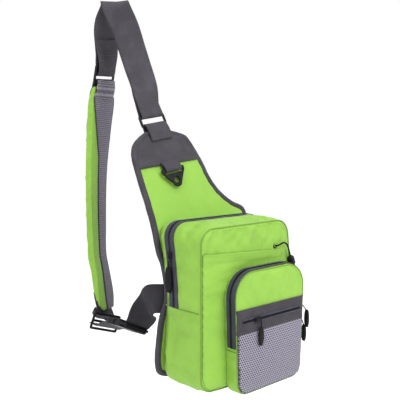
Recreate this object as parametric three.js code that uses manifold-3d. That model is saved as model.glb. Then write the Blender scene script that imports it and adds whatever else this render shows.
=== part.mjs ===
// Fishing tackle sling bag, shown as it hangs when worn: a padded back panel with a leaning neck, a hollow
// main compartment with a front pocket, and one shoulder strap that runs through a pad and a side-release
// buckle back to the side of the bag. Millimetres, +Z up, the front faces -Y, and the origin is the
// underside of the strap's top fold, where it lies on the shoulder.
import * as THREE from 'three';
import Module from 'manifold-3d';
import { mergeVertices } from 'three/addons/utils/BufferGeometryUtils.js';

// Clearances
const GAP = 0.3;
const SOFT_GAP = 0.7;

// Main compartment
const BODY_WIDTH = 216;
const BODY_HEIGHT = 268;
const BODY_DEPTH = 100;
const BODY_LEFT = -18;
const BODY_DROP = 397;
const FRONT_REACH = 255;
const BODY_CORNER = 27;
const BODY_BULGE = 13;
const BODY_SAG = 8;
const BODY_PUFF = 3;
const CLOTH = 2;
const SEAM_ROUND = 5;

// Back panel
const PANEL_WIDTH = 240;
const PANEL_HEIGHT = 436;
const PANEL_THICK = 8;
const PANEL_SINK = 6;
const BINDING_WIDTH = 11;
const PATCH_THICK = 1.4;

// Front pocket
const POCKET_WIDTH = 172;
const POCKET_HEIGHT = 208;
const POCKET_CORNER = 44;
const POCKET_FOOT_CORNER = 24;
const POCKET_DEPTH_LEFT = 25;
const POCKET_DEPTH_RIGHT = 35;
const POCKET_LEFT = 49;
const POCKET_DROP = 74;
const POCKET_TAPER = 0.09;
const POCKET_ZIP_FALL = 126;
const POCKET_HEM_HEIGHT = 40;
const POCKET_HEM_DROP = 62;
const MESH_THICK = 2.4;
const HEM_THICK = 1.6;
const HEM_ZIP_WIDTH = 8;

// Zips
const TAPE_THICK = 1.8;
const ZIP_FALL = 134;
const MAIN_SLIDER_DROP = 50;
const MAIN_CORD = 12;
const MAIN_GRIP = 42;
const HEM_SLIDER_REACH = 46;
const HEM_CORD = 16;
const POCKET_SLIDER_DROP = 78;
const PULL_CORD = 16;
const PULL_CORD_WIDTH = 2.6;
const PULL_CORD_THICK = 1.8;
const PULL_ASIDE = 6;
const SLIDER_LENGTH = 13;
const SLIDER_WIDTH = 10;
const SLIDER_THICK = 4.5;
const GRIP_LENGTH = 34;
const GRIP_WIDTH = 8;
const GRIP_THICK = 4;

// Slip pocket, drawcord and its lock
const SLIP_WIDTH = 192;
const SLIP_HEIGHT = 190;
const SLIP_DROP = 41;
const SLIP_SLOPE = 13;
const SLIP_THICK = 1.2;
const EYELET_RADIUS = 6;
const EYELET_REACH = 180;
const EYELET_DROP = 46;
const DRAWCORD_DIAMETER = 3;
const LOCK_LENGTH = 24;
const LOCK_DIAMETER = 13;

// Webbing and its fittings
const WEBBING_WIDTH = 50;
const WEBBING_THICK = 1.8;
const BAR = 4.6;
const BAR_DEPTH = 4.2;
const RING_HEIGHT = 24;
const RING_TILT = 10.5;
const RING_X = 28;
const RING_RISE = 16;
const STRAP_RETURN = 0.3;
const SLIDER_FRAME_HEIGHT = 34;
const REAR_DROP = 112;
const TAB_LENGTH = 30;
const TAIL_REACH = 33;

// Swinging ring on the neck
const LOOP_WIDTH = 40;
const LOOP_HEIGHT = 36;
const LOOP_THICK = 4;
const LOOP_BAR = 4.4;
const LOOP_HOLE = 12;
const LOOP_SLOT = 5.6;
const LOOP_WEB_THICK = 1.6;
const LOOP_X = 38.5;
const LOOP_FALL = 75;
const LOOP_TAB_WIDTH = 38;
const LOOP_TAB_HEIGHT = 16;

// Shoulder pad
const PAD_LENGTH = 440;
const PAD_WIDTH = 68;
const PAD_THICK = 16;
const PAD_MESH_THICK = 2;

// Side-release buckle
const BUCKLE_WIDTH = 60;
const BUCKLE_THICK = 13;
const SOCKET_LENGTH = 46;
const PLUG_LENGTH = 28;
const BUCKLE_WALL = 2.6;
const PRONG_LENGTH = 26;
const BUCKLE_SLOT = 7;
const BUCKLE_X = -20;
const BUCKLE_Y = -46;
const BUCKLE_DROP = 598;
const PRONG_WIDTH = 6;
const GUIDE_WIDTH = 8;
const LATCH = 9;
const LATCH_REACH = 15;

// Lower strap
const SIDE_FALL = 130;
const SIDE_SEAM = 34;

// Steps along the soft forms
const STRAP_STEPS = 44;
const PAD_STEPS = 22;
const SIDE_RUN_STEPS = 24;
const END_RUN_STEPS = 27;
const CORNER_STEPS = 5;
const SIDE_STEPS = 4;
const HEM_ROW = 3;

const wasm = await Module();
wasm.setup();

const bag = new THREE.Group();
const V = (x, y, z) => new THREE.Vector3(x, y, z);
const mix = (a, b, t) => a + (b - a) * t;
const degrees = (angle) => (angle * Math.PI) / 180;

// Colour, roughness and metalness of each finish
const FINISH = {
  green: [0x8fce4c, 0.85, 0],
  webbing: [0x4e4a52, 0.8, 0],
  mesh: [0x9a93a3, 0.9, 0],
  plastic: [0x232226, 0.45, 0],
  tape: [0x37343a, 0.8, 0],
};

function add(name, geometry, finish) {
  const [color, roughness, metalness] = FINISH[finish];
  const mesh = new THREE.Mesh(geometry, new THREE.MeshStandardMaterial({ color, roughness, metalness }));
  mesh.name = name;
  bag.add(mesh);
  return mesh;
}

// A closed body from points and triangles, turned so that its faces point out
function solid(points, faces) {
  let volume = 0;
  for (const [a, b, c] of faces) {
    volume += points[a].dot(points[b].clone().cross(points[c]));
  }
  const index = faces.flatMap(([a, b, c]) => (volume < 0 ? [a, c, b] : [a, b, c]));
  const geometry = new THREE.BufferGeometry();
  const values = points.flatMap((p) => p.toArray());
  geometry.setAttribute('position', new THREE.Float32BufferAttribute(values, 3));
  geometry.setIndex(index);
  return geometry;
}

// Side walls between closed rings of equal size. The first and last rings are joined or capped. Crossed
// walls split their quads the other way, so that a twisted strap lies parallel on a twisted face.
function loft(rings, joined = false, crossed = false) {
  const size = rings[0].length;
  const points = rings.flat();
  const faces = [];
  const last = joined ? rings.length : rings.length - 1;
  for (let k = 0; k < last; k += 1) {
    const here = k * size;
    const next = ((k + 1) % rings.length) * size;
    for (let i = 0; i < size; i += 1) {
      const j = (i + 1) % size;
      if (crossed) {
        faces.push([here + i, here + j, next + i], [here + j, next + j, next + i]);
      } else {
        faces.push([here + i, here + j, next + j], [here + i, next + j, next + i]);
      }
    }
  }
  if (!joined) {
    const end = (rings.length - 1) * size;
    for (let i = 1; i < size - 1; i += 1) {
      faces.push([0, i + 1, i], [end, end + i, end + i + 1]);
    }
  }
  return solid(points, faces);
}

// Cuts and joins
function toManifold(geometry) {
  const bare = geometry.clone();
  bare.deleteAttribute('normal');
  bare.deleteAttribute('uv');
  const merged = mergeVertices(bare, 1e-4);
  return new wasm.Manifold(new wasm.Mesh({
    numProp: 3,
    vertProperties: new Float32Array(merged.attributes.position.array),
    triVerts: new Uint32Array(merged.index.array),
  }));
}

function fromManifold(body) {
  const mesh = body.getMesh();
  const geometry = new THREE.BufferGeometry();
  geometry.setAttribute('position', new THREE.BufferAttribute(new Float32Array(mesh.vertProperties), 3));
  geometry.setIndex(new THREE.BufferAttribute(new Uint32Array(mesh.triVerts), 1));
  return geometry;
}

function cut(base, ...tools) {
  return fromManifold(tools.reduce((body, tool) => body.subtract(toManifold(tool)), toManifold(base)));
}

function join(base, ...others) {
  return fromManifold(others.reduce((body, other) => body.add(toManifold(other)), toManifold(base)));
}

function boxAt(width, depth, height, x, y, z) {
  return new THREE.BoxGeometry(width, depth, height).translate(x, y, z);
}

// An outline pushed out along its own Z, centred, with chamfered rims
function plate(shape, thick, chamfer, curveSegments = 6) {
  const options = {
    depth: thick - 2 * chamfer,
    bevelEnabled: chamfer > 0,
    bevelThickness: chamfer,
    bevelSize: chamfer,
    bevelOffset: -chamfer,
    bevelSegments: 1,
    curveSegments,
  };
  return new THREE.ExtrudeGeometry(shape, options).translate(0, 0, chamfer - thick / 2);
}

function roundedRectangle(path, width, height, radius, x = 0, y = 0) {
  const left = x - width / 2;
  const right = x + width / 2;
  const low = y - height / 2;
  const high = y + height / 2;
  path.moveTo(left + radius, low);
  path.lineTo(right - radius, low);
  path.absarc(right - radius, low + radius, radius, -Math.PI / 2, 0, false);
  path.lineTo(right, high - radius);
  path.absarc(right - radius, high - radius, radius, 0, Math.PI / 2, false);
  path.lineTo(left + radius, high);
  path.absarc(left + radius, high - radius, radius, Math.PI / 2, Math.PI, false);
  path.lineTo(left, low + radius);
  path.absarc(left + radius, low + radius, radius, Math.PI, Math.PI * 1.5, false);
  return path;
}

// Puts a flat piece into the frame of three unit directions at a point
function place(geometry, point, across, up, out) {
  return geometry.applyMatrix4(new THREE.Matrix4().makeBasis(across, up, out).setPosition(point));
}

// A frame on a strap's centre line: point, direction of travel, width direction and face direction
function frameAt(point, travel, width) {
  const along = travel.clone().normalize();
  const across = width.clone().addScaledVector(along, -width.dot(along)).normalize();
  return { point: point.clone(), along, across, face: along.clone().cross(across) };
}

// Frames along a smooth line through a few stations, each a point with its width direction
function followStations(stations, steps) {
  const curve = new THREE.CatmullRomCurve3(stations.map((s) => s.point), false, 'centripetal');
  const frames = [];
  for (let k = 0; k <= steps; k += 1) {
    const share = k / steps;
    const place01 = share * (stations.length - 1);
    const low = Math.min(Math.floor(place01), stations.length - 2);
    const width = stations[low].width.clone().lerp(stations[low + 1].width, place01 - low);
    frames.push(frameAt(curve.getPoint(share), curve.getTangent(share), width));
  }
  return frames;
}

// The half turn that a strap makes round a bar, from its last frame. side is 1 or -1 along the face.
function halfTurn(from, radius, side, steps = 5) {
  const centre = from.point.clone().addScaledVector(from.face, side * radius);
  const frames = [];
  for (let k = 1; k <= steps; k += 1) {
    const angle = (Math.PI * k) / steps;
    const point = centre.clone()
      .addScaledVector(from.face, -side * radius * Math.cos(angle))
      .addScaledVector(from.along, radius * Math.sin(angle));
    const travel = from.along.clone().multiplyScalar(Math.cos(angle))
      .addScaledVector(from.face, side * Math.sin(angle));
    frames.push(frameAt(point, travel, from.across));
  }
  return frames;
}

// A flat strap through a list of frames
function ribbon(frames, width = WEBBING_WIDTH, thick = WEBBING_THICK) {
  return loft(frames.map(({ point, across, face }) => [[-1, -1], [1, -1], [1, 1], [-1, 1]].map(([a, b]) => (
    point.clone().addScaledVector(across, (a * width) / 2).addScaledVector(face, (b * thick) / 2)))));
}

// Line of the back panel's middle, seen from the side: height above its foot as a share of PANEL_HEIGHT,
// and depth behind the compartment's front as a share of BODY_DEPTH
const BACK_LINE = [
  { height: 0, depth: 1.03 },
  { height: 0.17, depth: 0.97 },
  { height: 0.353, depth: 0.91 },
  { height: 0.514, depth: 1.02 },
  { height: 0.668, depth: 1.2 },
  { height: 1, depth: 1.72 },
];
const BODY_TOP = -BODY_DROP;
const BODY_FOOT = BODY_TOP - BODY_HEIGHT;
const PANEL_FOOT = BODY_FOOT - PANEL_SINK;
const PANEL_TOP = PANEL_FOOT + PANEL_HEIGHT;
const RING_DROP = -PANEL_TOP - RING_RISE;
const LOOP_DROP = -PANEL_TOP + LOOP_FALL;
const SIDE_DROP = BODY_DROP + SIDE_FALL;
const BODY_MIDDLE = BODY_LEFT + BODY_WIDTH / 2;
const BODY_FRONT = -FRONT_REACH;

function backLine(z) {
  const height = (z - PANEL_FOOT) / PANEL_HEIGHT;
  let k = 0;
  while (k < BACK_LINE.length - 2 && height > BACK_LINE[k + 1].height) {
    k += 1;
  }
  const low = BACK_LINE[k];
  const high = BACK_LINE[k + 1];
  const share = (height - low.height) / (high.height - low.height);
  return BODY_FRONT + BODY_DEPTH * mix(low.depth, high.depth, share);
}
const panelFront = (z) => backLine(z) - PANEL_THICK / 2;
const panelBack = (z) => backLine(z) + PANEL_THICK / 2;

// Outline of the bound back panel, from the neck down: both edges' places from the middle as shares of
// PANEL_WIDTH, and their heights above the foot as shares of PANEL_HEIGHT
const PANEL_ROWS = [
  { left: -0.358, leftHeight: 0.987, right: -0.142, rightHeight: 1 },
  { left: -0.433, leftHeight: 0.963, right: 0.004, rightHeight: 0.982 },
  { left: -0.5, leftHeight: 0.931, right: 0.054, rightHeight: 0.959 },
  { left: -0.529, leftHeight: 0.888, right: 0.104, rightHeight: 0.908 },
  { left: -0.527, leftHeight: 0.835, right: 0.146, rightHeight: 0.856 },
  { left: -0.517, leftHeight: 0.766, right: 0.183, rightHeight: 0.794 },
  { left: -0.504, leftHeight: 0.711, right: 0.25, rightHeight: 0.736 },
  { left: -0.5, leftHeight: 0.677, right: 0.358, rightHeight: 0.688 },
  { left: -0.492, leftHeight: 0.645, right: 0.479, rightHeight: 0.656 },
  { left: -0.485, leftHeight: 0.594, right: 0.512, rightHeight: 0.594 },
  { left: -0.479, leftHeight: 0.514, right: 0.521, rightHeight: 0.514 },
  { left: -0.454, leftHeight: 0.468, right: 0.525, rightHeight: 0.468 },
  { left: -0.442, leftHeight: 0.399, right: 0.529, rightHeight: 0.399 },
  { left: -0.442, leftHeight: 0.353, right: 0.529, rightHeight: 0.353 },
  { left: -0.446, leftHeight: 0.319, right: 0.525, rightHeight: 0.319 },
  { left: -0.487, leftHeight: 0.252, right: 0.521, rightHeight: 0.252 },
  { left: -0.502, leftHeight: 0.17, right: 0.517, rightHeight: 0.17 },
  { left: -0.508, leftHeight: 0.106, right: 0.508, rightHeight: 0.106 },
  { left: -0.5, leftHeight: 0.06, right: 0.492, rightHeight: 0.06 },
  { left: -0.467, leftHeight: 0.023, right: 0.45, rightHeight: 0.023 },
  { left: -0.367, leftHeight: 0, right: 0.367, rightHeight: 0 },
];

// The outline as one closed loop of x and z: down the left edge and up the right one
const panelLoop = [
  ...PANEL_ROWS.map((row) => [row.left, row.leftHeight]),
  ...PANEL_ROWS.map((row) => [row.right, row.rightHeight]).reverse(),
].map(([across, height]) => new THREE.Vector2(
  BODY_MIDDLE + across * PANEL_WIDTH, PANEL_FOOT + height * PANEL_HEIGHT));

// The same loop moved inwards
function insetLoop(loop, inset) {
  return loop.map((point, k) => {
    const before = loop[(k + loop.length - 1) % loop.length];
    const after = loop[(k + 1) % loop.length];
    const first = point.clone().sub(before).normalize();
    const second = after.clone().sub(point).normalize();
    const normal = new THREE.Vector2(-first.y - second.y, first.x + second.x).normalize();
    const slant = Math.max(normal.dot(new THREE.Vector2(-first.y, first.x)), 0.5);
    return point.clone().addScaledVector(normal, inset / slant);
  });
}

const panelInner = insetLoop(panelLoop, BINDING_WIDTH + GAP);
const rowCount = PANEL_ROWS.length;
const panelLeft = (k) => panelInner[k];
const panelRight = (k) => panelInner[2 * rowCount - 1 - k];

// A slab on the panel between two rows of its outline, from one depth to another off its middle
function panelSlab(rows, near, far) {
  return loft(rows.map(([left, right]) => [
    V(left.x, backLine(left.y) + near, left.y),
    V(right.x, backLine(right.y) + near, right.y),
    V(right.x, backLine(right.y) + far, right.y),
    V(left.x, backLine(left.y) + far, left.y),
  ]));
}

const panelRows = PANEL_ROWS.map((row, k) => [panelLeft(k), panelRight(k)]);
add('back_panel', panelSlab(panelRows, -PANEL_THICK / 2, PANEL_THICK / 2), 'green');

const bindingInner = insetLoop(panelLoop, BINDING_WIDTH);
add('panel_binding', loft(panelLoop.map((outer, k) => {
  const inner = bindingInner[k];
  return [
    V(outer.x, panelFront(outer.y), outer.y),
    V(inner.x, panelFront(inner.y), inner.y),
    V(inner.x, panelBack(inner.y), inner.y),
    V(outer.x, panelBack(outer.y), outer.y),
  ];
}), true), 'webbing');

// Dark cloth over the neck, down to a hem that slants like the neck's top
const hemLeft = panelLeft(HEM_ROW).clone().lerp(panelLeft(HEM_ROW + 1), 0.98);
const hemRight = panelRight(HEM_ROW).clone().lerp(panelRight(HEM_ROW + 1), 0.43);
const patchNear = -PANEL_THICK / 2 - GAP - PATCH_THICK;
const patchRows = [...panelRows.slice(0, HEM_ROW + 1), [hemLeft, hemRight]];
add('yoke_patch', panelSlab(patchRows, patchNear, patchNear + PATCH_THICK), 'webbing');

// The neck's own directions: across it, up it and out of its back
const neckRise = V(0, backLine(-RING_DROP) - backLine(-RING_DROP - 50), 50).normalize();
const neckAcross = V(Math.cos(degrees(RING_TILT)), 0, 0)
  .addScaledVector(neckRise, Math.sin(degrees(RING_TILT)));
const neckOut = V(0, neckRise.z, -neckRise.y);
const neckUp = neckOut.clone().cross(neckAcross).negate();

// Rectangular ring
const windowWidth = WEBBING_WIDTH + 2;
const ringShape = roundedRectangle(new THREE.Shape(), windowWidth + 2 * BAR, RING_HEIGHT, 5);
ringShape.holes.push(roundedRectangle(new THREE.Path(), windowWidth, RING_HEIGHT - 2 * BAR, 1));
const ringCentre = V(RING_X, backLine(-RING_DROP), -RING_DROP);
add('strap_ring', place(
  plate(ringShape, BAR_DEPTH, 1, 3), ringCentre, neckAcross, neckUp, neckOut.clone().negate()), 'plastic');

// Half the room that a webbing loop needs round a bar, to the middle of the webbing
const TURN = Math.hypot(BAR / 2, BAR_DEPTH / 2 - 1) + GAP + WEBBING_THICK / 2 + 0.8;

// Webbing tab that holds the ring: down the front of the neck and down its back
const barLow = ringCentre.clone().addScaledVector(neckUp, (BAR - RING_HEIGHT) / 2);
const frontLeg = patchNear - GAP - WEBBING_THICK / 2;
const backLeg = PANEL_THICK / 2 + GAP + WEBBING_THICK / 2;
function neckPoint(down, out) {
  return barLow.clone().addScaledVector(neckUp, -down).addScaledVector(neckOut, out);
}
function neckFrame(down, out, travel) {
  return frameAt(neckPoint(down, out), travel, neckAcross);
}
const tabRise = neckFrame(0, -TURN, neckUp);
const tabStart = neckUp.clone();
add('ring_tab', ribbon([
  neckFrame(TAB_LENGTH, frontLeg, tabStart),
  neckFrame(8, frontLeg, tabStart),
  tabRise,
  ...halfTurn(tabRise, TURN, 1),
  neckFrame(8, backLeg, tabStart.clone().negate()),
  neckFrame(TAB_LENGTH - 6, backLeg, tabStart.clone().negate()),
]), 'webbing');

// Shoulder strap, down the front: places as shares of RING_DROP, and the turn of its width in degrees
const STRAP_FRONT = [
  { x: 0, y: 0, z: 0, turn: -43, tilt: 0 },
  { x: -0.012, y: -0.035, z: -0.035, turn: -43, tilt: 0 },
  { x: 0.008, y: -0.06, z: -0.11, turn: -43, tilt: 0 },
  { x: 0.041, y: -0.085, z: -0.2, turn: -38, tilt: 0 },
  { x: 0.069, y: -0.122, z: -0.335, turn: -30, tilt: 2 },
  { x: 0.101, y: -0.186, z: -0.54, turn: -25, tilt: 4 },
  { x: 0.123, y: -0.242, z: -0.7, turn: -18, tilt: 6 },
];
// and down the back to the slider on the pad, as shares of REAR_DROP
const STRAP_REAR = [
  { x: 0.045, y: 0.07, z: -0.08, turn: -43, tilt: 0 },
  { x: 0.02, y: 0.13, z: -0.21, turn: -40, tilt: 0 },
  { x: -0.01, y: 0.18, z: -0.36, turn: -28, tilt: 0 },
  { x: 0.012, y: 0.268, z: -0.63, turn: 0, tilt: 0 },
  { x: 0.03, y: 0.321, z: -0.81, turn: 11, tilt: 0 },
  { x: 0.027, y: 0.375, z: -1, turn: 20, tilt: 0 },
];

function widthDirection(turn, tilt) {
  return V(
    Math.cos(degrees(turn)) * Math.cos(degrees(tilt)),
    Math.sin(degrees(turn)) * Math.cos(degrees(tilt)),
    Math.sin(degrees(tilt)));
}
function stations(rows, size) {
  return rows.map((row) => ({
    point: V(row.x, row.y, row.z).multiplyScalar(size),
    width: widthDirection(row.turn, row.tilt),
  }));
}

const barHigh = ringCentre.clone().addScaledVector(neckUp, (RING_HEIGHT - BAR) / 2);
const strapEntry = barHigh.clone().addScaledVector(neckOut, -TURN);
const strapLift = V(0, 0, WEBBING_THICK / 2);
const strapStations = [
  ...stations(STRAP_REAR, REAR_DROP).reverse(),
  ...stations(STRAP_FRONT, RING_DROP),
  { point: strapEntry.clone().addScaledVector(neckUp, 26), width: neckAcross.clone() },
  { point: strapEntry.clone(), width: neckAcross.clone() },
];
strapStations.forEach((station) => station.point.add(strapLift));
strapStations[strapStations.length - 1].point.sub(strapLift);
const strapRun = followStations(strapStations, STRAP_STEPS);
const strapEnd = frameAt(strapRun[strapRun.length - 1].point, neckUp.clone().negate(), neckAcross);
strapRun[strapRun.length - 1] = strapEnd;
const strapSide = Math.sign(strapEnd.face.dot(neckOut));

// The strap's doubled end runs back up behind its front run
const returnSteps = Math.round(STRAP_RETURN * STRAP_STEPS);
const strapReturn = [];
for (let k = 1; k <= returnSteps; k += 1) {
  const front = strapRun[strapRun.length - 1 - k];
  const apart = mix(2 * TURN, WEBBING_THICK + 1, Math.min(k / 5, 1));
  const point = front.point.clone().addScaledVector(front.face, strapSide * apart);
  strapReturn.push(frameAt(point, front.along.clone().negate(), front.across));
}

// The other end turns round the slider's bar on the pad and comes back up behind it
const rearStart = strapRun[0];
const rearTurn = halfTurn(
  frameAt(rearStart.point, rearStart.along.clone().negate(), rearStart.across), TURN, 1);
const rearReturn = [3, 5, 7].map((k) => {
  const front = strapRun[k];
  const apart = mix(2 * TURN, WEBBING_THICK + 1, Math.min((k - 1) / 5, 1));
  return frameAt(front.point.clone().addScaledVector(front.face, -apart), front.along, front.across);
});
add('shoulder_strap', ribbon([
  ...rearReturn.reverse().map((f) => frameAt(f.point, f.along.clone().negate(), f.across)),
  ...rearTurn.reverse().map((f) => frameAt(f.point, f.along.clone().negate(), f.across)),
  ...strapRun,
  ...halfTurn(strapEnd, TURN, strapSide),
  ...strapReturn,
]), 'webbing');

// A fitting's own directions from one strap frame: across its width, up along the strap and out of its face
function fitting(frame) {
  return { across: frame.across, up: frame.along, out: frame.across.clone().cross(frame.along) };
}

// Three-bar slider between the strap and the pad
const rearUp = rearStart.along.clone();
const sliderShape = roundedRectangle(
  new THREE.Shape(), windowWidth + 2 * BAR, SLIDER_FRAME_HEIGHT, 4, 0, -SLIDER_FRAME_HEIGHT / 2);
const sliderWindow = (SLIDER_FRAME_HEIGHT - 3 * BAR) / 2;
[1, 2].forEach((k) => sliderShape.holes.push(roundedRectangle(
  new THREE.Path(), windowWidth, sliderWindow, 1, 0, -k * BAR - (k - 0.5) * sliderWindow)));
const sliderBar = rearStart.point.clone().addScaledVector(rearStart.face, -TURN);
const sliderFrame = fitting(frameAt(sliderBar, rearUp, rearStart.across));
const sliderTop = sliderBar.clone().addScaledVector(rearUp, BAR / 2);
add('pad_slider', place(plate(sliderShape, BAR_DEPTH, 1, 2), sliderTop,
  sliderFrame.across, sliderFrame.up, sliderFrame.out), 'plastic');

// Shoulder pad: middle line below the slider as shares of PAD_LENGTH, the turn of its width in degrees,
// and its width and thickness as shares of PAD_WIDTH and PAD_THICK
const PAD_ROWS = [
  { x: 0, y: 0, z: 0, turn: 21, width: 0.86, thick: 0.4 },
  { x: -0.002, y: 0.008, z: -0.03, turn: 22, width: 0.97, thick: 0.85 },
  { x: -0.004, y: 0.018, z: -0.09, turn: 24, width: 1, thick: 1 },
  { x: -0.012, y: 0.03, z: -0.22, turn: 28, width: 1, thick: 1 },
  { x: -0.018, y: 0.038, z: -0.34, turn: 32, width: 1, thick: 1 },
  { x: -0.022, y: 0.041, z: -0.48, turn: 35, width: 1, thick: 1 },
  { x: -0.026, y: 0.036, z: -0.63, turn: 37, width: 1, thick: 1 },
  { x: -0.03, y: 0.024, z: -0.76, turn: 40, width: 1, thick: 1 },
  { x: -0.026, y: 0.012, z: -0.82, turn: 40, width: 1, thick: 1 },
  { x: -0.022, y: -0.006, z: -0.91, turn: 34, width: 0.93, thick: 0.9 },
  { x: -0.018, y: -0.016, z: -0.96, turn: 31, width: 0.82, thick: 0.7 },
  { x: -0.014, y: -0.026, z: -1, turn: 29, width: 0.62, thick: 0.4 },
];
const sliderLow = sliderTop.clone().addScaledVector(rearUp, -SLIDER_FRAME_HEIGHT + BAR / 2);
const padTop = sliderLow.clone().addScaledVector(rearUp, -TURN - BAR);
const padStations = PAD_ROWS.map((row) => ({
  point: V(row.x, row.y, row.z).multiplyScalar(PAD_LENGTH).add(padTop),
  width: widthDirection(row.turn, 0),
}));
const padRun = followStations(padStations, PAD_STEPS);

function padShare(share, column) {
  const row = Math.min(share * (PAD_ROWS.length - 1), PAD_ROWS.length - 1.001);
  const low = Math.floor(row);
  return mix(PAD_ROWS[low][column], PAD_ROWS[low + 1][column], row - low);
}
const padWidth = (k) => PAD_WIDTH * padShare(k / PAD_STEPS, 'width');
const padThick = (k) => PAD_THICK * padShare(k / PAD_STEPS, 'thick');

// The pad's cross-section: a flat oblong with round edges
const PAD_SECTION = [
  [-0.5, -0.2], [-0.46, -0.4], [-0.38, -0.5], [0.38, -0.5], [0.46, -0.4], [0.5, -0.2],
  [0.5, 0.2], [0.46, 0.4], [0.38, 0.5], [-0.38, 0.5], [-0.46, 0.4], [-0.5, 0.2],
];
add('shoulder_pad', loft(padRun.map((frame, k) => PAD_SECTION.map(([a, b]) => (
  frame.point.clone()
    .addScaledVector(frame.across, a * padWidth(k))
    .addScaledVector(frame.face, b * padThick(k))))), false, true), 'green');

// Frames on one face of the pad, clear of it. side is 1 on the face that frame.face points to.
function onPad(from, to, side, thick) {
  return padRun.slice(from, to + 1).map((frame, k) => frameAt(
    frame.point.clone().addScaledVector(frame.face, side * (padThick(from + k) / 2 + GAP + thick / 2)),
    frame.along, frame.across));
}
const padInner = Math.sign(padRun[PAD_STEPS / 2].face.dot(V(0, -1, 0)));
const meshRun = onPad(2, PAD_STEPS - 3, padInner, PAD_MESH_THICK);
add('pad_mesh', ribbon(meshRun, PAD_WIDTH * 0.72, PAD_MESH_THICK), 'mesh');

// Webbing from the pad's outer face up round the slider's lowest bar and back inside the pad's end
const topPatch = onPad(1, 3, -padInner, WEBBING_THICK).reverse()
  .map((f) => frameAt(f.point, f.along.clone().negate(), f.across));
const lowBarRise = frameAt(
  sliderLow.clone().addScaledVector(sliderFrame.out, TURN * Math.sign(sliderFrame.out.dot(V(0, 1, 0)))),
  rearUp, sliderFrame.across);
const lowBarSide = -Math.sign(lowBarRise.face.dot(V(0, 1, 0)));
const topReturn = onPad(1, 1, padInner, WEBBING_THICK);
add('pad_top_patch', ribbon([
  ...topPatch,
  lowBarRise,
  ...halfTurn(lowBarRise, TURN, lowBarSide),
  ...topReturn,
]), 'webbing');

// Side-release buckle: its middle, length direction from the socket to the plug, and width direction
const buckleAlong = V(0.05, 0.99, -0.12).normalize();
const buckleMiddle = V(BUCKLE_X, BUCKLE_Y, -BUCKLE_DROP);
const buckleFrame = frameAt(buckleMiddle, buckleAlong, V(0.88, 0, -0.47));
const buckleWidth = buckleFrame.across.clone();
const buckleOut = buckleWidth.clone().cross(buckleFrame.along);

// Half of the buckle with its webbing slot at the far end. Its local Y runs from the joint to that end.
function buckleShape(length) {
  const shape = new THREE.Shape();
  const half = BUCKLE_WIDTH / 2;
  shape.moveTo(-half, 0);
  shape.lineTo(half, 0);
  shape.lineTo(half, length - 5);
  shape.lineTo(half - 5, length);
  shape.lineTo(5 - half, length);
  shape.lineTo(-half, length - 5);
  shape.holes.push(roundedRectangle(
    new THREE.Path(), windowWidth, BUCKLE_SLOT, 1, 0, length - BAR - BUCKLE_SLOT / 2));
  return shape;
}
const cavityWidth = BUCKLE_WIDTH - 4 * BUCKLE_WALL;
const cavityThick = BUCKLE_THICK - 2 * BUCKLE_WALL;
const cavityLength = PRONG_LENGTH + GAP + 2;
const barEnd = SOCKET_LENGTH - BAR - BUCKLE_SLOT;
const endRelief = BUCKLE_THICK - BAR_DEPTH;
const buckleBase = join(
  plate(buckleShape(SOCKET_LENGTH), BAR_DEPTH, 0.8, 2),
  boxAt(BUCKLE_WIDTH, barEnd - 2, BUCKLE_THICK, 0, (barEnd - 2) / 2, 0));
const socket = cut(
  buckleBase,
  boxAt(cavityWidth, cavityLength + 10, cavityThick, 0, cavityLength / 2 - 5, 0),
  boxAt(BUCKLE_WIDTH + 4, LATCH + 2, cavityThick, 0, LATCH_REACH, 0));
add('buckle_socket', place(socket.rotateZ(Math.PI), buckleMiddle,
  buckleFrame.across, buckleFrame.along, buckleOut), 'plastic');

// The plug: a bar with its slot, a guide and two prongs that bow out into the socket's side windows
const prongThick = cavityThick - 2 * 0.5;
const prongX = (cavityWidth - PRONG_WIDTH) / 2 - 2;
const prongY = 1 - PRONG_LENGTH / 2 + GAP;
const plug = join(
  plate(buckleShape(PLUG_LENGTH), BAR_DEPTH, 0.8, 2).translate(0, GAP, 0),
  boxAt(BUCKLE_WIDTH, 8, BUCKLE_THICK, 0, 4 + GAP, 0),
  boxAt(GUIDE_WIDTH, PRONG_LENGTH, prongThick, 0, prongY, 0),
  boxAt(PRONG_WIDTH, PRONG_LENGTH, prongThick, prongX, prongY, 0),
  boxAt(PRONG_WIDTH, PRONG_LENGTH, prongThick, -prongX, prongY, 0),
  boxAt(LATCH, LATCH, prongThick, prongX + LATCH / 2, -LATCH_REACH, 0),
  boxAt(LATCH, LATCH, prongThick, -prongX - LATCH / 2, -LATCH_REACH, 0));
add('buckle_plug', place(plug, buckleMiddle, buckleFrame.across, buckleFrame.along, buckleOut), 'plastic');

// Webbing from the pad's outer face through the tail slider, round the plug's bar and back as a loose tail
const plugBar = buckleMiddle.clone().addScaledVector(buckleFrame.along, PLUG_LENGTH + GAP - BAR / 2);
const plugEntry = frameAt(
  plugBar.clone().addScaledVector(buckleOut, TURN * Math.sign(buckleOut.z)),
  buckleFrame.along.clone().negate(), buckleFrame.across);
const tailMiddle = plugBar.clone().add(V(-3, TAIL_REACH, -5));
const tailFrame = frameAt(tailMiddle, V(0.1, 0.99, 0.05), V(0.94, -0.09, -0.34));
const tailUp = tailFrame.across.clone().cross(tailFrame.along);
const tailPitch = (SLIDER_FRAME_HEIGHT - BAR) / 4;
const tailShape = roundedRectangle(new THREE.Shape(), windowWidth + 2 * BAR, SLIDER_FRAME_HEIGHT, 4);
[-1, 1].forEach((side) => tailShape.holes.push(roundedRectangle(
  new THREE.Path(), windowWidth, sliderWindow, 1, 0, side * tailPitch)));
add('tail_slider', place(plate(tailShape, BAR_DEPTH, 1, 2), tailMiddle,
  tailFrame.across, tailUp, tailFrame.across.clone().cross(tailUp)), 'plastic');

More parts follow.
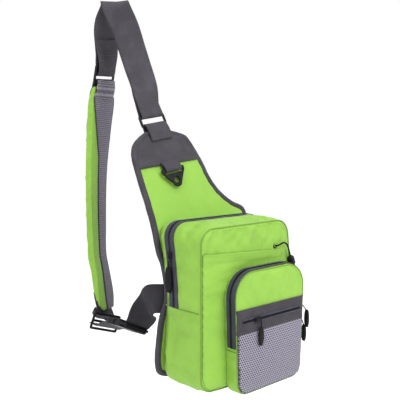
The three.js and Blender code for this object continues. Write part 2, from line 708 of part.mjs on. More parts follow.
const tailAt = (along, up) => tailMiddle.clone()
  .addScaledVector(tailFrame.along, along).addScaledVector(tailUp, up * Math.sign(tailUp.z));
const padEnd = padRun[PAD_STEPS];
const offPad = padEnd.point.clone()
  .addScaledVector(padEnd.along, 5)
  .addScaledVector(padEnd.face, -padInner * 4);
const endStations = [
  ...onPad(PAD_STEPS - 4, PAD_STEPS - 1, -padInner, WEBBING_THICK)
    .map((f) => ({ point: f.point, width: f.across })),
  { point: offPad.clone(), width: padEnd.across.clone() },
  { point: tailAt(9, tailPitch), width: tailFrame.across.clone() },
  { point: tailAt(0, tailPitch), width: tailFrame.across.clone() },
  { point: tailAt(-7, tailPitch), width: tailFrame.across.clone() },
  { point: plugEntry.point.clone().addScaledVector(buckleFrame.along, 7), width: buckleWidth },
  { point: plugEntry.point.clone(), width: buckleWidth },
];
const endRun = followStations(endStations, END_RUN_STEPS);
endRun[END_RUN_STEPS] = plugEntry;
const plugSide = Math.sign(plugEntry.face.dot(plugBar.clone().sub(plugEntry.point)));
const plugTurn = halfTurn(plugEntry, TURN, plugSide);
const plugExit = plugTurn[plugTurn.length - 1];
const tailRun = followStations([
  { point: plugExit.point.clone(), width: plugExit.across.clone() },
  { point: plugExit.point.clone().addScaledVector(buckleFrame.along, 8), width: plugExit.across.clone() },
  { point: tailAt(-8, -tailPitch), width: tailFrame.across.clone() },
  { point: tailAt(0, -tailPitch), width: tailFrame.across.clone() },
  { point: tailAt(16, -tailPitch - 1), width: tailFrame.across.clone() },
], 8).slice(1);
add('pad_end_web', ribbon([...endRun, ...plugTurn, ...tailRun]), 'webbing');

// Lower strap: from the back of the panel round its left edge to the socket's bar, then on below the buckle
const socketBar = buckleMiddle.clone().addScaledVector(buckleFrame.along, BAR / 2 - SOCKET_LENGTH);
const socketEntry = frameAt(
  socketBar.clone().addScaledVector(buckleOut, TURN * Math.sign(buckleOut.z)),
  buckleFrame.along.clone(), buckleFrame.across);
const sideEdge = BODY_MIDDLE - 0.442 * PANEL_WIDTH;
const sideBack = Math.max(...[-0.52, 0, 0.52].map((share) => panelBack(share * WEBBING_WIDTH - SIDE_DROP)))
  + 2 * GAP + WEBBING_THICK / 2;
const sideStations = [
  { point: V(sideEdge + SIDE_SEAM, sideBack, -SIDE_DROP), width: V(0, 0, 1) },
  { point: V(sideEdge + SIDE_SEAM / 2, sideBack, -SIDE_DROP), width: V(0, 0, 1) },
  { point: V(sideEdge + 2, sideBack + 0.5, -SIDE_DROP), width: V(0, 0, 1) },
  { point: V(sideEdge - 7, sideBack + 12, -SIDE_DROP - 1), width: V(0.05, 0, 1) },
  { point: V(sideEdge - 8, sideBack + 32, -SIDE_DROP - 8), width: V(-0.2, 0.3, 0.95) },
  { point: V(sideEdge - 4, sideBack + 50, -SIDE_DROP - 25), width: V(-0.55, 0.5, 0.7) },
  { point: socketEntry.point.clone().add(V(1, -9, 12)), width: V(-0.8, 0.2, 0.5) },
  { point: socketEntry.point.clone(), width: buckleFrame.across.clone().negate() },
];
const sideRun = followStations(sideStations, SIDE_RUN_STEPS);
const socketTurnStart = frameAt(socketEntry.point, buckleFrame.along, buckleFrame.across.clone().negate());
sideRun[SIDE_RUN_STEPS] = socketTurnStart;
const socketSide = Math.sign(socketTurnStart.face.dot(socketBar.clone().sub(socketTurnStart.point)));
const socketTurn = halfTurn(socketTurnStart, TURN, socketSide);
add('side_strap', ribbon([...sideRun, ...socketTurn]), 'webbing');

// The compartments' outline, seen from the front: a rounded rectangle, walked clockwise from the left
// corner of its foot. inset moves it inwards. Each corner and each side is split into equal steps.
function outline(box, inset) {
  const points = [];
  const corners = [
    { x: -1, z: -1, radius: box.foot, from: -90 },
    { x: -1, z: 1, radius: box.corner, from: 180 },
    { x: 1, z: 1, radius: box.corner, from: 90 },
    { x: 1, z: -1, radius: box.foot, from: 0 },
  ];
  corners.forEach((corner) => {
    const x = corner.x * (box.width / 2 - corner.radius);
    const z = corner.z * (box.height / 2 - corner.radius);
    const radius = Math.max(corner.radius - inset, 1);
    const held = corner.radius - inset - radius;
    for (let k = 0; k <= CORNER_STEPS; k += 1) {
      const angle = degrees(corner.from - (90 * k) / CORNER_STEPS);
      points.push(new THREE.Vector2(
        x + corner.x * held + radius * Math.cos(angle), z + corner.z * held + radius * Math.sin(angle)));
    }
  });
  const size = CORNER_STEPS + 1;
  const loop = [];
  corners.forEach((corner, c) => {
    loop.push(...points.slice(c * size, (c + 1) * size));
    const here = points[(c + 1) * size - 1];
    const next = points[((c + 1) * size) % points.length];
    for (let k = 1; k < SIDE_STEPS; k += 1) {
      const level = box.levels && c % 2 === 0 ? box.levels[c === 0 ? k - 1 : SIDE_STEPS - 1 - k] : null;
      const share = level === null ? k / SIDE_STEPS : (level - here.y) / (next.y - here.y);
      loop.push(here.clone().lerp(next, Math.min(Math.max(share, 0.02 * k), 1 - 0.02 * (SIDE_STEPS - k))));
    }
  });
  return loop.map((point) => box.shape(point));
}
// Places in the loop where a side begins: the foot's left corner comes first
const LOOP_SIZE = 4 * (CORNER_STEPS + SIDE_STEPS);
const LEFT_SIDE = CORNER_STEPS;
const RIGHT_SIDE = 3 * (CORNER_STEPS + SIDE_STEPS);

// A compartment of cloth: rings from its front seam to its open back, and the same inside. Each ring has
// its inset and its depth: front counts from the front face, and share is the part of the way to the back.
function pouch(box, rings, wall) {
  const ring = (row, inner) => outline(box, row.inset + (inner ? wall : 0)).map((point) => {
    const front = box.front(point.x, point.y);
    const back = box.back(point.x, point.y);
    const depth = row.share * (back - front) + row.front + (inner && row.share === 0 ? wall : 0);
    return V(point.x, front + depth, point.y);
  });
  const outer = rings.map((row) => ring(row, false));
  const inner = rings.map((row) => ring(row, true)).reverse();
  return loft([...outer, ...inner]);
}

// A zip tape that follows part of the outline between two rings of the pouch
function tape(box, from, to, near, far, lift, thick) {
  const level = (row, inset) => {
    const loop = outline(box, row.inset - inset);
    const base = outline(box, row.inset);
    return loop.map((point, k) => {
      const front = box.front(base[k].x, base[k].y);
      const back = box.back(base[k].x, base[k].y);
      return V(point.x, front + row.share * (back - front) + row.front, point.y);
    });
  };
  const sides = [[near, lift], [far, lift], [far, lift + thick], [near, lift + thick]]
    .map(([row, inset]) => level(row, inset));
  const ringAt = (at) => {
    const low = Math.floor(at);
    return sides.map((side) => side[low % LOOP_SIZE].clone().lerp(side[(low + 1) % LOOP_SIZE], at - low));
  };
  const rings = [ringAt(from)];
  for (let k = Math.floor(from) + 1; k < to; k += 1) {
    rings.push(ringAt(k));
  }
  rings.push(ringAt(to));
  return loft(rings);
}

// Main compartment
const bodyCentre = V(BODY_MIDDLE, 0, (BODY_TOP + BODY_FOOT) / 2);
const BODY = {
  width: BODY_WIDTH,
  height: BODY_HEIGHT,
  corner: BODY_CORNER,
  foot: BODY_CORNER * 0.8,
  shape: (point) => {
    const height = point.y / BODY_HEIGHT + 0.5;
    const across = point.x / BODY_WIDTH + 0.5;
    const arch = (share) => Math.sin(Math.PI * Math.min(Math.max(share, 0), 1));
    const bulge = BODY_BULGE * arch(height) * Math.max(across, 0);
    const sag = BODY_SAG * arch(across) * Math.max(0.5 - height, 0) * 2;
    return new THREE.Vector2(bodyCentre.x + point.x + bulge * across, bodyCentre.z + point.y - sag);
  },
  front: () => BODY_FRONT,
  back: (x, z) => panelFront(z) - SOFT_GAP,
  // The sides have a point at each bend of the panel, so that the open back lies on it
  levels: [1, 2, 3].map((k) => PANEL_FOOT + BACK_LINE[k].height * PANEL_HEIGHT - bodyCentre.z),
};
const BODY_RINGS = [
  { inset: SEAM_ROUND, front: 0, share: 0 },
  { inset: SEAM_ROUND * 0.3, front: SEAM_ROUND * 0.3, share: 0 },
  { inset: 0, front: SEAM_ROUND, share: 0 },
  { inset: -BODY_PUFF, front: 0, share: 0.59 },
  { inset: -BODY_PUFF, front: 0, share: 0.83 },
  { inset: SEAM_ROUND * 0.6, front: 0, share: 1 },
];
add('main_shell', pouch(BODY, BODY_RINGS, CLOTH), 'green');

// The place in the loop where a side reaches a height, as an index with a fraction
function loopIndex(box, inset, side, z) {
  const loop = outline(box, inset);
  const low = side < 0 ? LEFT_SIDE : RIGHT_SIDE;
  const step = side < 0 ? 1 : -1;
  for (let k = 0; k < SIDE_STEPS; k += 1) {
    const here = loop[low + step * k].y;
    const next = loop[low + step * (k + 1)].y;
    if (z <= next) {
      return low + step * (k + (z - here) / (next - here));
    }
  }
  return low + step * SIDE_STEPS;
}
const zipFoot = BODY_TOP - ZIP_FALL;
add('main_zip_tape', tape(
  BODY, loopIndex(BODY, -BODY_PUFF, -1, zipFoot), loopIndex(BODY, -BODY_PUFF, 1, zipFoot),
  BODY_RINGS[3], BODY_RINGS[4], GAP, TAPE_THICK), 'tape');

// A slider: a small block with a raised bridge. Its local Y is the way it runs and Z faces out.
function zipSlider() {
  const shape = new THREE.Shape();
  const half = SLIDER_WIDTH / 2;
  shape.moveTo(-half, SLIDER_LENGTH / 2);
  shape.lineTo(-half * 0.7, -SLIDER_LENGTH / 2);
  shape.lineTo(half * 0.7, -SLIDER_LENGTH / 2);
  shape.lineTo(half, SLIDER_LENGTH / 2);
  return join(
    plate(shape, SLIDER_THICK * 0.6, 0.5).translate(0, 0, -SLIDER_THICK * 0.2),
    boxAt(3, SLIDER_LENGTH * 0.7, SLIDER_THICK * 0.6, 0, 0, SLIDER_THICK * 0.2));
}
// A pull: a moulded grip on a doubled cord, which hangs from the local origin. aside leans the cord.
function zipPull(cordLength, gripLength, aside = 0) {
  const half = PULL_CORD_WIDTH / 2;
  const cord = new THREE.Shape();
  cord.moveTo(-half, 1);
  cord.lineTo(aside - half, -cordLength - 1);
  cord.lineTo(aside + half, -cordLength - 1);
  cord.lineTo(half, 1);
  const grip = roundedRectangle(
    new THREE.Shape(), GRIP_WIDTH, gripLength, 3, aside, -cordLength - gripLength / 2);
  return join(plate(cord, PULL_CORD_THICK, 0), plate(grip, GRIP_THICK, 1, 3));
}
function hang(geometry, point, out) {
  const up = V(0, 0, 1);
  return place(geometry, point, up.clone().cross(out).normalize(), up, out);
}

// Main slider on the left side, with its pull below it
const bodySideX = outline(BODY, -BODY_PUFF)[LEFT_SIDE + 1].x;
const tapeOut = bodySideX - GAP - TAPE_THICK;
const sliderZ = BODY_TOP - MAIN_SLIDER_DROP;
const zipMiddle = (BODY_RINGS[3].share + BODY_RINGS[4].share) / 2;
const sliderY = mix(BODY_FRONT, panelFront(sliderZ) - SOFT_GAP, zipMiddle);
const sliderAt = V(tapeOut - GAP - SLIDER_THICK / 2, sliderY, sliderZ);
add('main_zip_slider', hang(zipSlider(), sliderAt, V(-1, 0, 0)), 'plastic');
const pullAt = V(tapeOut - GAP - GRIP_THICK / 2, sliderY, sliderZ - SLIDER_LENGTH / 2 - GAP - 1);
add('main_zip_pull', hang(zipPull(MAIN_CORD, MAIN_GRIP), pullAt, V(-1, 0, 0)), 'plastic');

// Front pocket
const POCKET_X = BODY_LEFT + POCKET_LEFT + POCKET_WIDTH / 2;
const POCKET_TOP = BODY_TOP - POCKET_DROP;
const pocketCentre = V(POCKET_X, 0, POCKET_TOP - POCKET_HEIGHT / 2);
const slipFront = BODY_FRONT - GAP - SLIP_THICK;
const pocketBack = slipFront - SOFT_GAP;
const pocketSide = (x) => (x - POCKET_X) / POCKET_WIDTH + 0.5;
const POCKET = {
  width: POCKET_WIDTH,
  height: POCKET_HEIGHT,
  corner: POCKET_CORNER,
  foot: POCKET_FOOT_CORNER,
  shape: (point) => {
    const low = Math.max(0.5 - point.y / POCKET_HEIGHT, 0);
    return new THREE.Vector2(pocketCentre.x + point.x * (1 - POCKET_TAPER * low), pocketCentre.z + point.y);
  },
  front: (x) => pocketBack - mix(POCKET_DEPTH_LEFT, POCKET_DEPTH_RIGHT, pocketSide(x)),
  back: () => pocketBack,
};
const POCKET_RINGS = [
  { inset: SEAM_ROUND, front: 0, share: 0 },
  { inset: SEAM_ROUND * 0.3, front: SEAM_ROUND * 0.3, share: 0 },
  { inset: 0, front: SEAM_ROUND, share: 0 },
  { inset: 0, front: 0, share: 0.26 },
  { inset: 0, front: 0, share: 0.84 },
  { inset: 0.6, front: 0, share: 1 },
];
add('pocket_shell', pouch(POCKET, POCKET_RINGS, CLOTH), 'green');
const pocketZipFoot = POCKET_TOP - POCKET_ZIP_FALL;
add('pocket_zip', tape(
  POCKET, loopIndex(POCKET, 0, -1, pocketZipFoot), loopIndex(POCKET, 0, 1, pocketZipFoot),
  POCKET_RINGS[3], POCKET_RINGS[4], GAP, TAPE_THICK), 'tape');

// Slip pocket, flat on the front face behind the front pocket
const slipShape = new THREE.Shape();
const slipLeft = BODY_LEFT + SEAM_ROUND + 1;
slipShape.moveTo(slipLeft, BODY_TOP - SLIP_DROP);
slipShape.lineTo(slipLeft, BODY_TOP - SLIP_DROP - SLIP_HEIGHT);
slipShape.lineTo(slipLeft + SLIP_WIDTH, BODY_TOP - SLIP_DROP - SLIP_HEIGHT);
slipShape.lineTo(slipLeft + SLIP_WIDTH, BODY_TOP - SLIP_DROP - SLIP_SLOPE);
const onFront = (geometry, y) => geometry.applyMatrix4(
  new THREE.Matrix4().makeBasis(V(1, 0, 0), V(0, 0, 1), V(0, -1, 0)).setPosition(0, y, 0));
add('slip_pocket', onFront(plate(slipShape, SLIP_THICK, 0), BODY_FRONT - GAP - SLIP_THICK / 2), 'green');

// A slab on the pocket's slanted front face, from an outline in x and z
function onPocket(outlinePoints, lift, thick) {
  const level = (out) => outlinePoints.map((p) => V(p.x, POCKET.front(p.x, p.y) - out, p.y));
  return loft([level(lift), level(lift + thick)]);
}
const faceLoop = outline(POCKET, SEAM_ROUND + 1);
const HEM_TOP = POCKET_TOP - POCKET_HEM_DROP;
const HEM_FOOT = HEM_TOP - POCKET_HEM_HEIGHT;
const faceSide = (z, side) => {
  const low = 0.5 - (z - pocketCentre.z) / POCKET_HEIGHT;
  return pocketCentre.x + side * (POCKET_WIDTH / 2 - SEAM_ROUND - 1) * (1 - POCKET_TAPER * low);
};
const hemBand = [[-1, HEM_FOOT], [1, HEM_FOOT], [1, HEM_TOP], [-1, HEM_TOP]]
  .map(([side, z]) => new THREE.Vector2(faceSide(z, side), z));
add('pocket_hem', onPocket(hemBand, GAP, HEM_THICK), 'webbing');
const meshTop = HEM_FOOT - GAP;
const meshFace = [
  new THREE.Vector2(faceSide(meshTop, 1), meshTop),
  ...[...faceLoop.slice(RIGHT_SIDE - SIDE_STEPS), ...faceLoop.slice(0, LEFT_SIDE + SIDE_STEPS)]
    .filter((p) => p.y < meshTop - 4),
  new THREE.Vector2(faceSide(meshTop, -1), meshTop),
];
add('pocket_mesh', onPocket(meshFace, GAP, MESH_THICK), 'mesh');

// Zip on the hem band, its slider and pull
const hemMiddle = (HEM_TOP + HEM_FOOT) / 2;
const bandOut = GAP + HEM_THICK;
const hemZipOutline = [[-1, -1], [1, -1], [1, 1], [-1, 1]].map(([side, end]) => new THREE.Vector2(
  pocketCentre.x + side * (POCKET_WIDTH / 2 - 3 * SEAM_ROUND), hemMiddle + (end * HEM_ZIP_WIDTH) / 2));
add('hem_zip', onPocket(hemZipOutline, bandOut + GAP, TAPE_THICK), 'tape');
const hemSliderX = POCKET_X - POCKET_WIDTH / 2 + HEM_SLIDER_REACH;
const faceSlope = (POCKET_DEPTH_RIGHT - POCKET_DEPTH_LEFT) / POCKET_WIDTH;
const faceOut = V(-faceSlope, -1, 0).normalize();
const hemOut = bandOut + 2 * GAP + TAPE_THICK;
const hemSliderAt = V(hemSliderX, POCKET.front(hemSliderX) - hemOut - SLIDER_THICK / 2, hemMiddle);
const faceAcross = V(0, 0, 1).cross(faceOut);
add('hem_slider', place(
  zipSlider(), hemSliderAt, V(0, 0, -1), faceAcross.clone(), V(0, 0, -1).cross(faceAcross)), 'plastic');
const hemPullX = hemSliderX + SLIDER_LENGTH / 2 + GAP + PULL_CORD_WIDTH / 2;
add('hem_pull', hang(zipPull(HEM_CORD, GRIP_LENGTH - 4), V(
  hemPullX, POCKET.front(hemPullX) - hemOut - GRIP_THICK / 2, hemMiddle), faceOut), 'plastic');

// Two sliders of the pocket's arched zip, parked at its right side, with a pull on each
const tapeShare = (POCKET_RINGS[3].share + POCKET_RINGS[4].share) / 2;
function pocketRight(z) {
  const low = 0.5 - (z - pocketCentre.z) / POCKET_HEIGHT;
  return pocketCentre.x + (POCKET_WIDTH / 2) * (1 - POCKET_TAPER * low);
}
['upper', 'lower'].forEach((name, k) => {
  const z = POCKET_TOP - POCKET_SLIDER_DROP - k * (SLIDER_LENGTH + 3);
  const x = pocketRight(z + SLIDER_LENGTH / 2) + GAP + TAPE_THICK + 2 * GAP + SLIDER_THICK / 2;
  const y = mix(POCKET.front(x), pocketBack, tapeShare);
  add(`pocket_slider_${name}`, hang(zipSlider(), V(x, y, z), V(1, 0, 0)), 'plastic');
  const pullX = x + SLIDER_THICK / 2 + GAP + PULL_CORD_THICK / 2;
  const pull = zipPull(PULL_CORD + k * 12, GRIP_LENGTH - 6 * k, (2 * k - 1) * PULL_ASIDE);
  add(`pocket_pull_${name}`, hang(pull, V(pullX, y, z + 3), V(1, 0, 0)), 'plastic');
});

// Eyelet, drawcord and cord lock at the top right of the front face
const eyeletX = BODY_LEFT + EYELET_REACH;
const eyeletZ = BODY_TOP - EYELET_DROP;
const eyeletThick = 2.4;
const eyelet = new THREE.LatheGeometry([
  new THREE.Vector2(EYELET_RADIUS / 2, 0),
  new THREE.Vector2(EYELET_RADIUS, 0),
  new THREE.Vector2(EYELET_RADIUS * 0.9, eyeletThick * 0.7),
  new THREE.Vector2(EYELET_RADIUS * 0.7, eyeletThick),
  new THREE.Vector2(EYELET_RADIUS / 2, eyeletThick * 0.8),
  new THREE.Vector2(EYELET_RADIUS / 2, 0),
], 14);
const eyeletAt = V(eyeletX, BODY_FRONT - GAP, eyeletZ);
add('eyelet', place(eyelet, eyeletAt, V(1, 0, 0), V(0, -1, 0), V(0, 0, -1)), 'plastic');

// Route of the drawcord from the eyelet to its lock, measured from the eyelet
const DRAWCORD_ROUTE = [
  [0, -1.8, 0],
  [0.3, -5, 0.3],
  [3, -8.3, 1.6],
  [9, -9, 3.6],
  [16, -8.4, 4],
  [23, -7.6, 2.4],
  [28.5, -7.2, -2.4],
  [32, -7, -8.6],
  [34.8, -7, -15.4],
  [37.6, -7, -22.4],
].map(([x, y, z]) => V(eyeletX + x, BODY_FRONT + y, eyeletZ + z));
const drawcordCurve = new THREE.CatmullRomCurve3(DRAWCORD_ROUTE, false, 'centripetal');
const drawcordSection = new THREE.Shape().absarc(0, 0, DRAWCORD_DIAMETER / 2, 0, Math.PI * 2, false);
add('drawcord', new THREE.ExtrudeGeometry(
  drawcordSection, { steps: 16, extrudePath: drawcordCurve, curveSegments: 4 }), 'webbing');
const cordEnd = DRAWCORD_ROUTE[DRAWCORD_ROUTE.length - 1];
const cordWay = drawcordCurve.getTangent(1);
const lockRadius = LOCK_DIAMETER / 2;
const lock = new THREE.LatheGeometry([
  new THREE.Vector2(0, 0),
  new THREE.Vector2(lockRadius * 0.55, 0),
  new THREE.Vector2(lockRadius * 0.95, LOCK_LENGTH * 0.12),
  new THREE.Vector2(lockRadius, LOCK_LENGTH * 0.6),
  new THREE.Vector2(lockRadius * 0.8, LOCK_LENGTH * 0.68),
  new THREE.Vector2(lockRadius * 0.7, LOCK_LENGTH * 0.94),
  new THREE.Vector2(lockRadius * 0.45, LOCK_LENGTH),
  new THREE.Vector2(0, LOCK_LENGTH),
], 12);
const lockSide = cordWay.clone().cross(V(0, 1, 0)).normalize();
add('cord_lock', place(lock, cordEnd.clone().addScaledVector(cordWay, GAP),
  lockSide, cordWay, lockSide.clone().cross(cordWay)), 'plastic');

// Triangular ring on the neck and the webbing tab that it swings in
const loopTurn = Math.hypot(LOOP_BAR / 2, LOOP_THICK / 2 - 0.8) + GAP + LOOP_WEB_THICK / 2 + 0.5;
const tabBackOut = patchNear - GAP - LOOP_WEB_THICK / 2;
const loopCentre = V(LOOP_X, backLine(-LOOP_DROP), -LOOP_DROP)
  .addScaledVector(neckOut, tabBackOut - loopTurn);
const loopFrame = (up, out, travel) => frameAt(
  loopCentre.clone().addScaledVector(neckUp, up).addScaledVector(neckOut, out), travel, neckAcross);
const loopDown = neckUp.clone().negate();
const loopEntry = loopFrame(0, loopTurn, loopDown);
const loopSide = Math.sign(loopEntry.face.dot(neckOut)) * -1;
add('ring_strap_tab', ribbon([
  loopFrame(LOOP_TAB_HEIGHT, loopTurn, loopDown),
  loopEntry,
  ...halfTurn(loopEntry, loopTurn, loopSide),
  loopFrame(LOOP_TAB_HEIGHT * 0.4, -loopTurn + 1.5, neckUp),
  loopFrame(LOOP_TAB_HEIGHT, loopTurn - LOOP_WEB_THICK - GAP, neckUp),
], LOOP_TAB_WIDTH, LOOP_WEB_THICK), 'webbing');

const loopShape = new THREE.Shape();
const loopHalf = LOOP_WIDTH / 2 + 7;
const loopFoot = 11;
loopShape.moveTo(-loopHalf, LOOP_BAR / 2);
loopShape.lineTo(-loopHalf, -LOOP_BAR);
loopShape.lineTo(-loopFoot * 0.95, LOOP_BAR / 2 - LOOP_HEIGHT + loopFoot * 0.7);
loopShape.absarc(0, LOOP_BAR / 2 - LOOP_HEIGHT + loopFoot, loopFoot, Math.PI * 1.1, Math.PI * 1.9, false);
loopShape.lineTo(loopHalf, -LOOP_BAR);
loopShape.lineTo(loopHalf, LOOP_BAR / 2);
loopShape.holes.push(roundedRectangle(
  new THREE.Path(), LOOP_WIDTH, LOOP_SLOT, 1, 0, -LOOP_BAR / 2 - LOOP_SLOT / 2));
loopShape.holes.push(new THREE.Path().absarc(
  0, LOOP_BAR / 2 - LOOP_HEIGHT + loopFoot + 2, LOOP_HOLE / 2, 0, Math.PI * 2, false));
add('tab_ring', place(plate(loopShape, LOOP_THICK, 0.8, 4), loopCentre,
  neckAcross, neckUp, neckAcross.clone().cross(neckUp)), 'plastic');

export default bag;
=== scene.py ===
import math

import bmesh
import bpy
from mathutils import Matrix, Vector, noise


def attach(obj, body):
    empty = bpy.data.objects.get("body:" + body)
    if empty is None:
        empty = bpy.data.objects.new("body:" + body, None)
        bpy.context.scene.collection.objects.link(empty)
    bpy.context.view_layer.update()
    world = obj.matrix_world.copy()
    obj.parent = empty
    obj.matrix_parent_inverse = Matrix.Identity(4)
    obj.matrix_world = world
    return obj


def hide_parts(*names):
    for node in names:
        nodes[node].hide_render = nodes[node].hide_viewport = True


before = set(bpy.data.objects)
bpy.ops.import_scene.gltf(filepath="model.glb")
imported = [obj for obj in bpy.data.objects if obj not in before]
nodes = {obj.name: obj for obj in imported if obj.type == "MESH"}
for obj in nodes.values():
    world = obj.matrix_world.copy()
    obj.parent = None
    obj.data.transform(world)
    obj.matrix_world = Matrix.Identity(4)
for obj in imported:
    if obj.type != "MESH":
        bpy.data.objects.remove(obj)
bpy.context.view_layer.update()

# Viewpoint
# The bag is seen from its front left, a little above its middle, as it hangs when worn.
camera = bpy.data.objects.new("viewpoint", bpy.data.cameras.new("viewpoint"))
bpy.context.scene.collection.objects.link(camera)
camera.location = (-0.6063, -0.8837, -0.2735)
camera.rotation_euler = Vector((0.6793, 0.7285, -0.0889)).to_track_quat("-Z", "Y").to_euler()
camera.data.lens = 50
camera.data.sensor_width = 36
bpy.context.scene.camera = camera

# Drawcord
# A braided polyester cord, 3 mm thick, that comes out of an eyelet at the top right of the front and ends
# in a spring lock. Its braid is two sets of strands that cross on the surface.
MILLIMETRE = 0.001
DRAWCORD_ROUTE = [
    (162, -256.8, -443), (162.3, -260, -442.7), (165, -263.3, -441.4), (171, -264, -439.4),
    (178, -263.4, -439), (185, -262.6, -440.6), (190.5, -262.2, -445.4), (194, -262, -451.6),
    (196.8, -262, -458.4), (199.6, -262, -465.4),
]


def blended(rows, step=3.0):
    """Rows of numbers, the first three a place, with more rows between them on a smooth line."""
    rows = [tuple(float(v) for v in row) for row in rows]
    first = tuple(2 * a - b for a, b in zip(rows[0], rows[1]))
    last = tuple(2 * a - b for a, b in zip(rows[-1], rows[-2]))
    full = [first] + rows + [last]
    found = []
    for k in range(1, len(full) - 2):
        before, here, there, after = full[k - 1:k + 3]
        gaps = [max(math.dist(p[:3], q[:3]), 1e-6)
                for p, q in ((before, here), (here, there), (there, after))]
        leave = [((y - x) / gaps[0] * gaps[1] + (z - y) / gaps[1] * gaps[0]) / (gaps[0] + gaps[1])
                 for x, y, z in zip(before, here, there)]
        reach = [((y - x) / gaps[1] * gaps[2] + (z - y) / gaps[2] * gaps[1]) / (gaps[1] + gaps[2])
                 for x, y, z in zip(here, there, after)]
        count = max(1, round(gaps[1] / step))
        for i in range(count):
            t = i / count
            a = 2 * t ** 3 - 3 * t ** 2 + 1
            b = t ** 3 - 2 * t ** 2 + t
            c = 3 * t ** 2 - 2 * t ** 3
            d = t ** 3 - t ** 2
            found.append(tuple(a * p + b * gaps[1] * u + c * q + d * gaps[1] * v
                               for p, u, q, v in zip(here, leave, there, reach)))
    found.append(rows[-1])
    return found


def made(name, points, faces, finish, slot, corners=None, replaces=(), flat=False):
    """A piece of the bag from points in millimetres. corners are the cloth's own places, in millimetres."""
    mesh = bpy.data.meshes.new(name)
    mesh.from_pydata([tuple(c * MILLIMETRE for c in p) for p in points], [], faces)
    if corners:
        layer = mesh.uv_layers.new(name="cloth")
        for entry, value in zip(layer.data, corners):
            entry.uv = value
    outward = bmesh.new()
    outward.from_mesh(mesh)
    bmesh.ops.recalc_face_normals(outward, faces=outward.faces)
    outward.to_mesh(mesh)
    outward.free()
    mesh.polygons.foreach_set("use_smooth", [not flat] * len(mesh.polygons))
    piece = bpy.data.objects.new(name, mesh)
    bpy.context.scene.collection.objects.link(piece)
    mesh.materials.append(finish)
    if replaces:
        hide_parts(*replaces)
    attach(piece, "bag")
    return piece


def swept(frames, sections, capped=True):
    """Points, faces and cloth places of a section carried along frames of (place, across, face)."""
    size = len(sections[0])
    points = []
    for (place, across, face), section in zip(frames, sections):
        points += [place + across * a + face * b for a, b in section]
    around = [0.0]
    for k in range(size):
        p, q = sections[len(sections) // 2][k], sections[len(sections) // 2][(k + 1) % size]
        around.append(around[-1] + math.dist(p, q))
    run = [0.0]
    for (p, _, _), (q, _, _) in zip(frames, frames[1:]):
        run.append(run[-1] + (q - p).length)
    faces, corners = [], []
    for k in range(len(frames) - 1):
        for i in range(size):
            j = (i + 1) % size
            faces.append((k * size + i, (k + 1) * size + i, (k + 1) * size + j, k * size + j))
            corners += [(around[i], run[k]), (around[i], run[k + 1]),
                        (around[i + 1], run[k + 1]), (around[i + 1], run[k])]
    if capped:
        end = (len(frames) - 1) * size
        faces += [tuple(range(size)), tuple(end + i for i in reversed(range(size)))]
        corners += [(a, b) for a, b in sections[0]] + [(a, b) for a, b in reversed(sections[-1])]
    return points, faces, corners


def heading(places, k):
    """The way a line of places runs at one of them."""
    return (places[min(k + 1, len(places) - 1)] - places[max(k - 1, 0)]).normalized()


def squared(way, along):
    """A direction turned until it is square to a line."""
    return (way - along * way.dot(along)).normalized()


def led(places, across):
    """Frames along a line of places whose width keeps one direction."""
    frames = []
    for k, place in enumerate(places):
        along = heading(places, k)
        side = squared(across, along)
        frames.append((place, side, along.cross(side)))
    return frames


def circle(radius, count):
    return [(radius * math.cos(math.tau * k / count), radius * math.sin(math.tau * k / count))
            for k in range(count)]


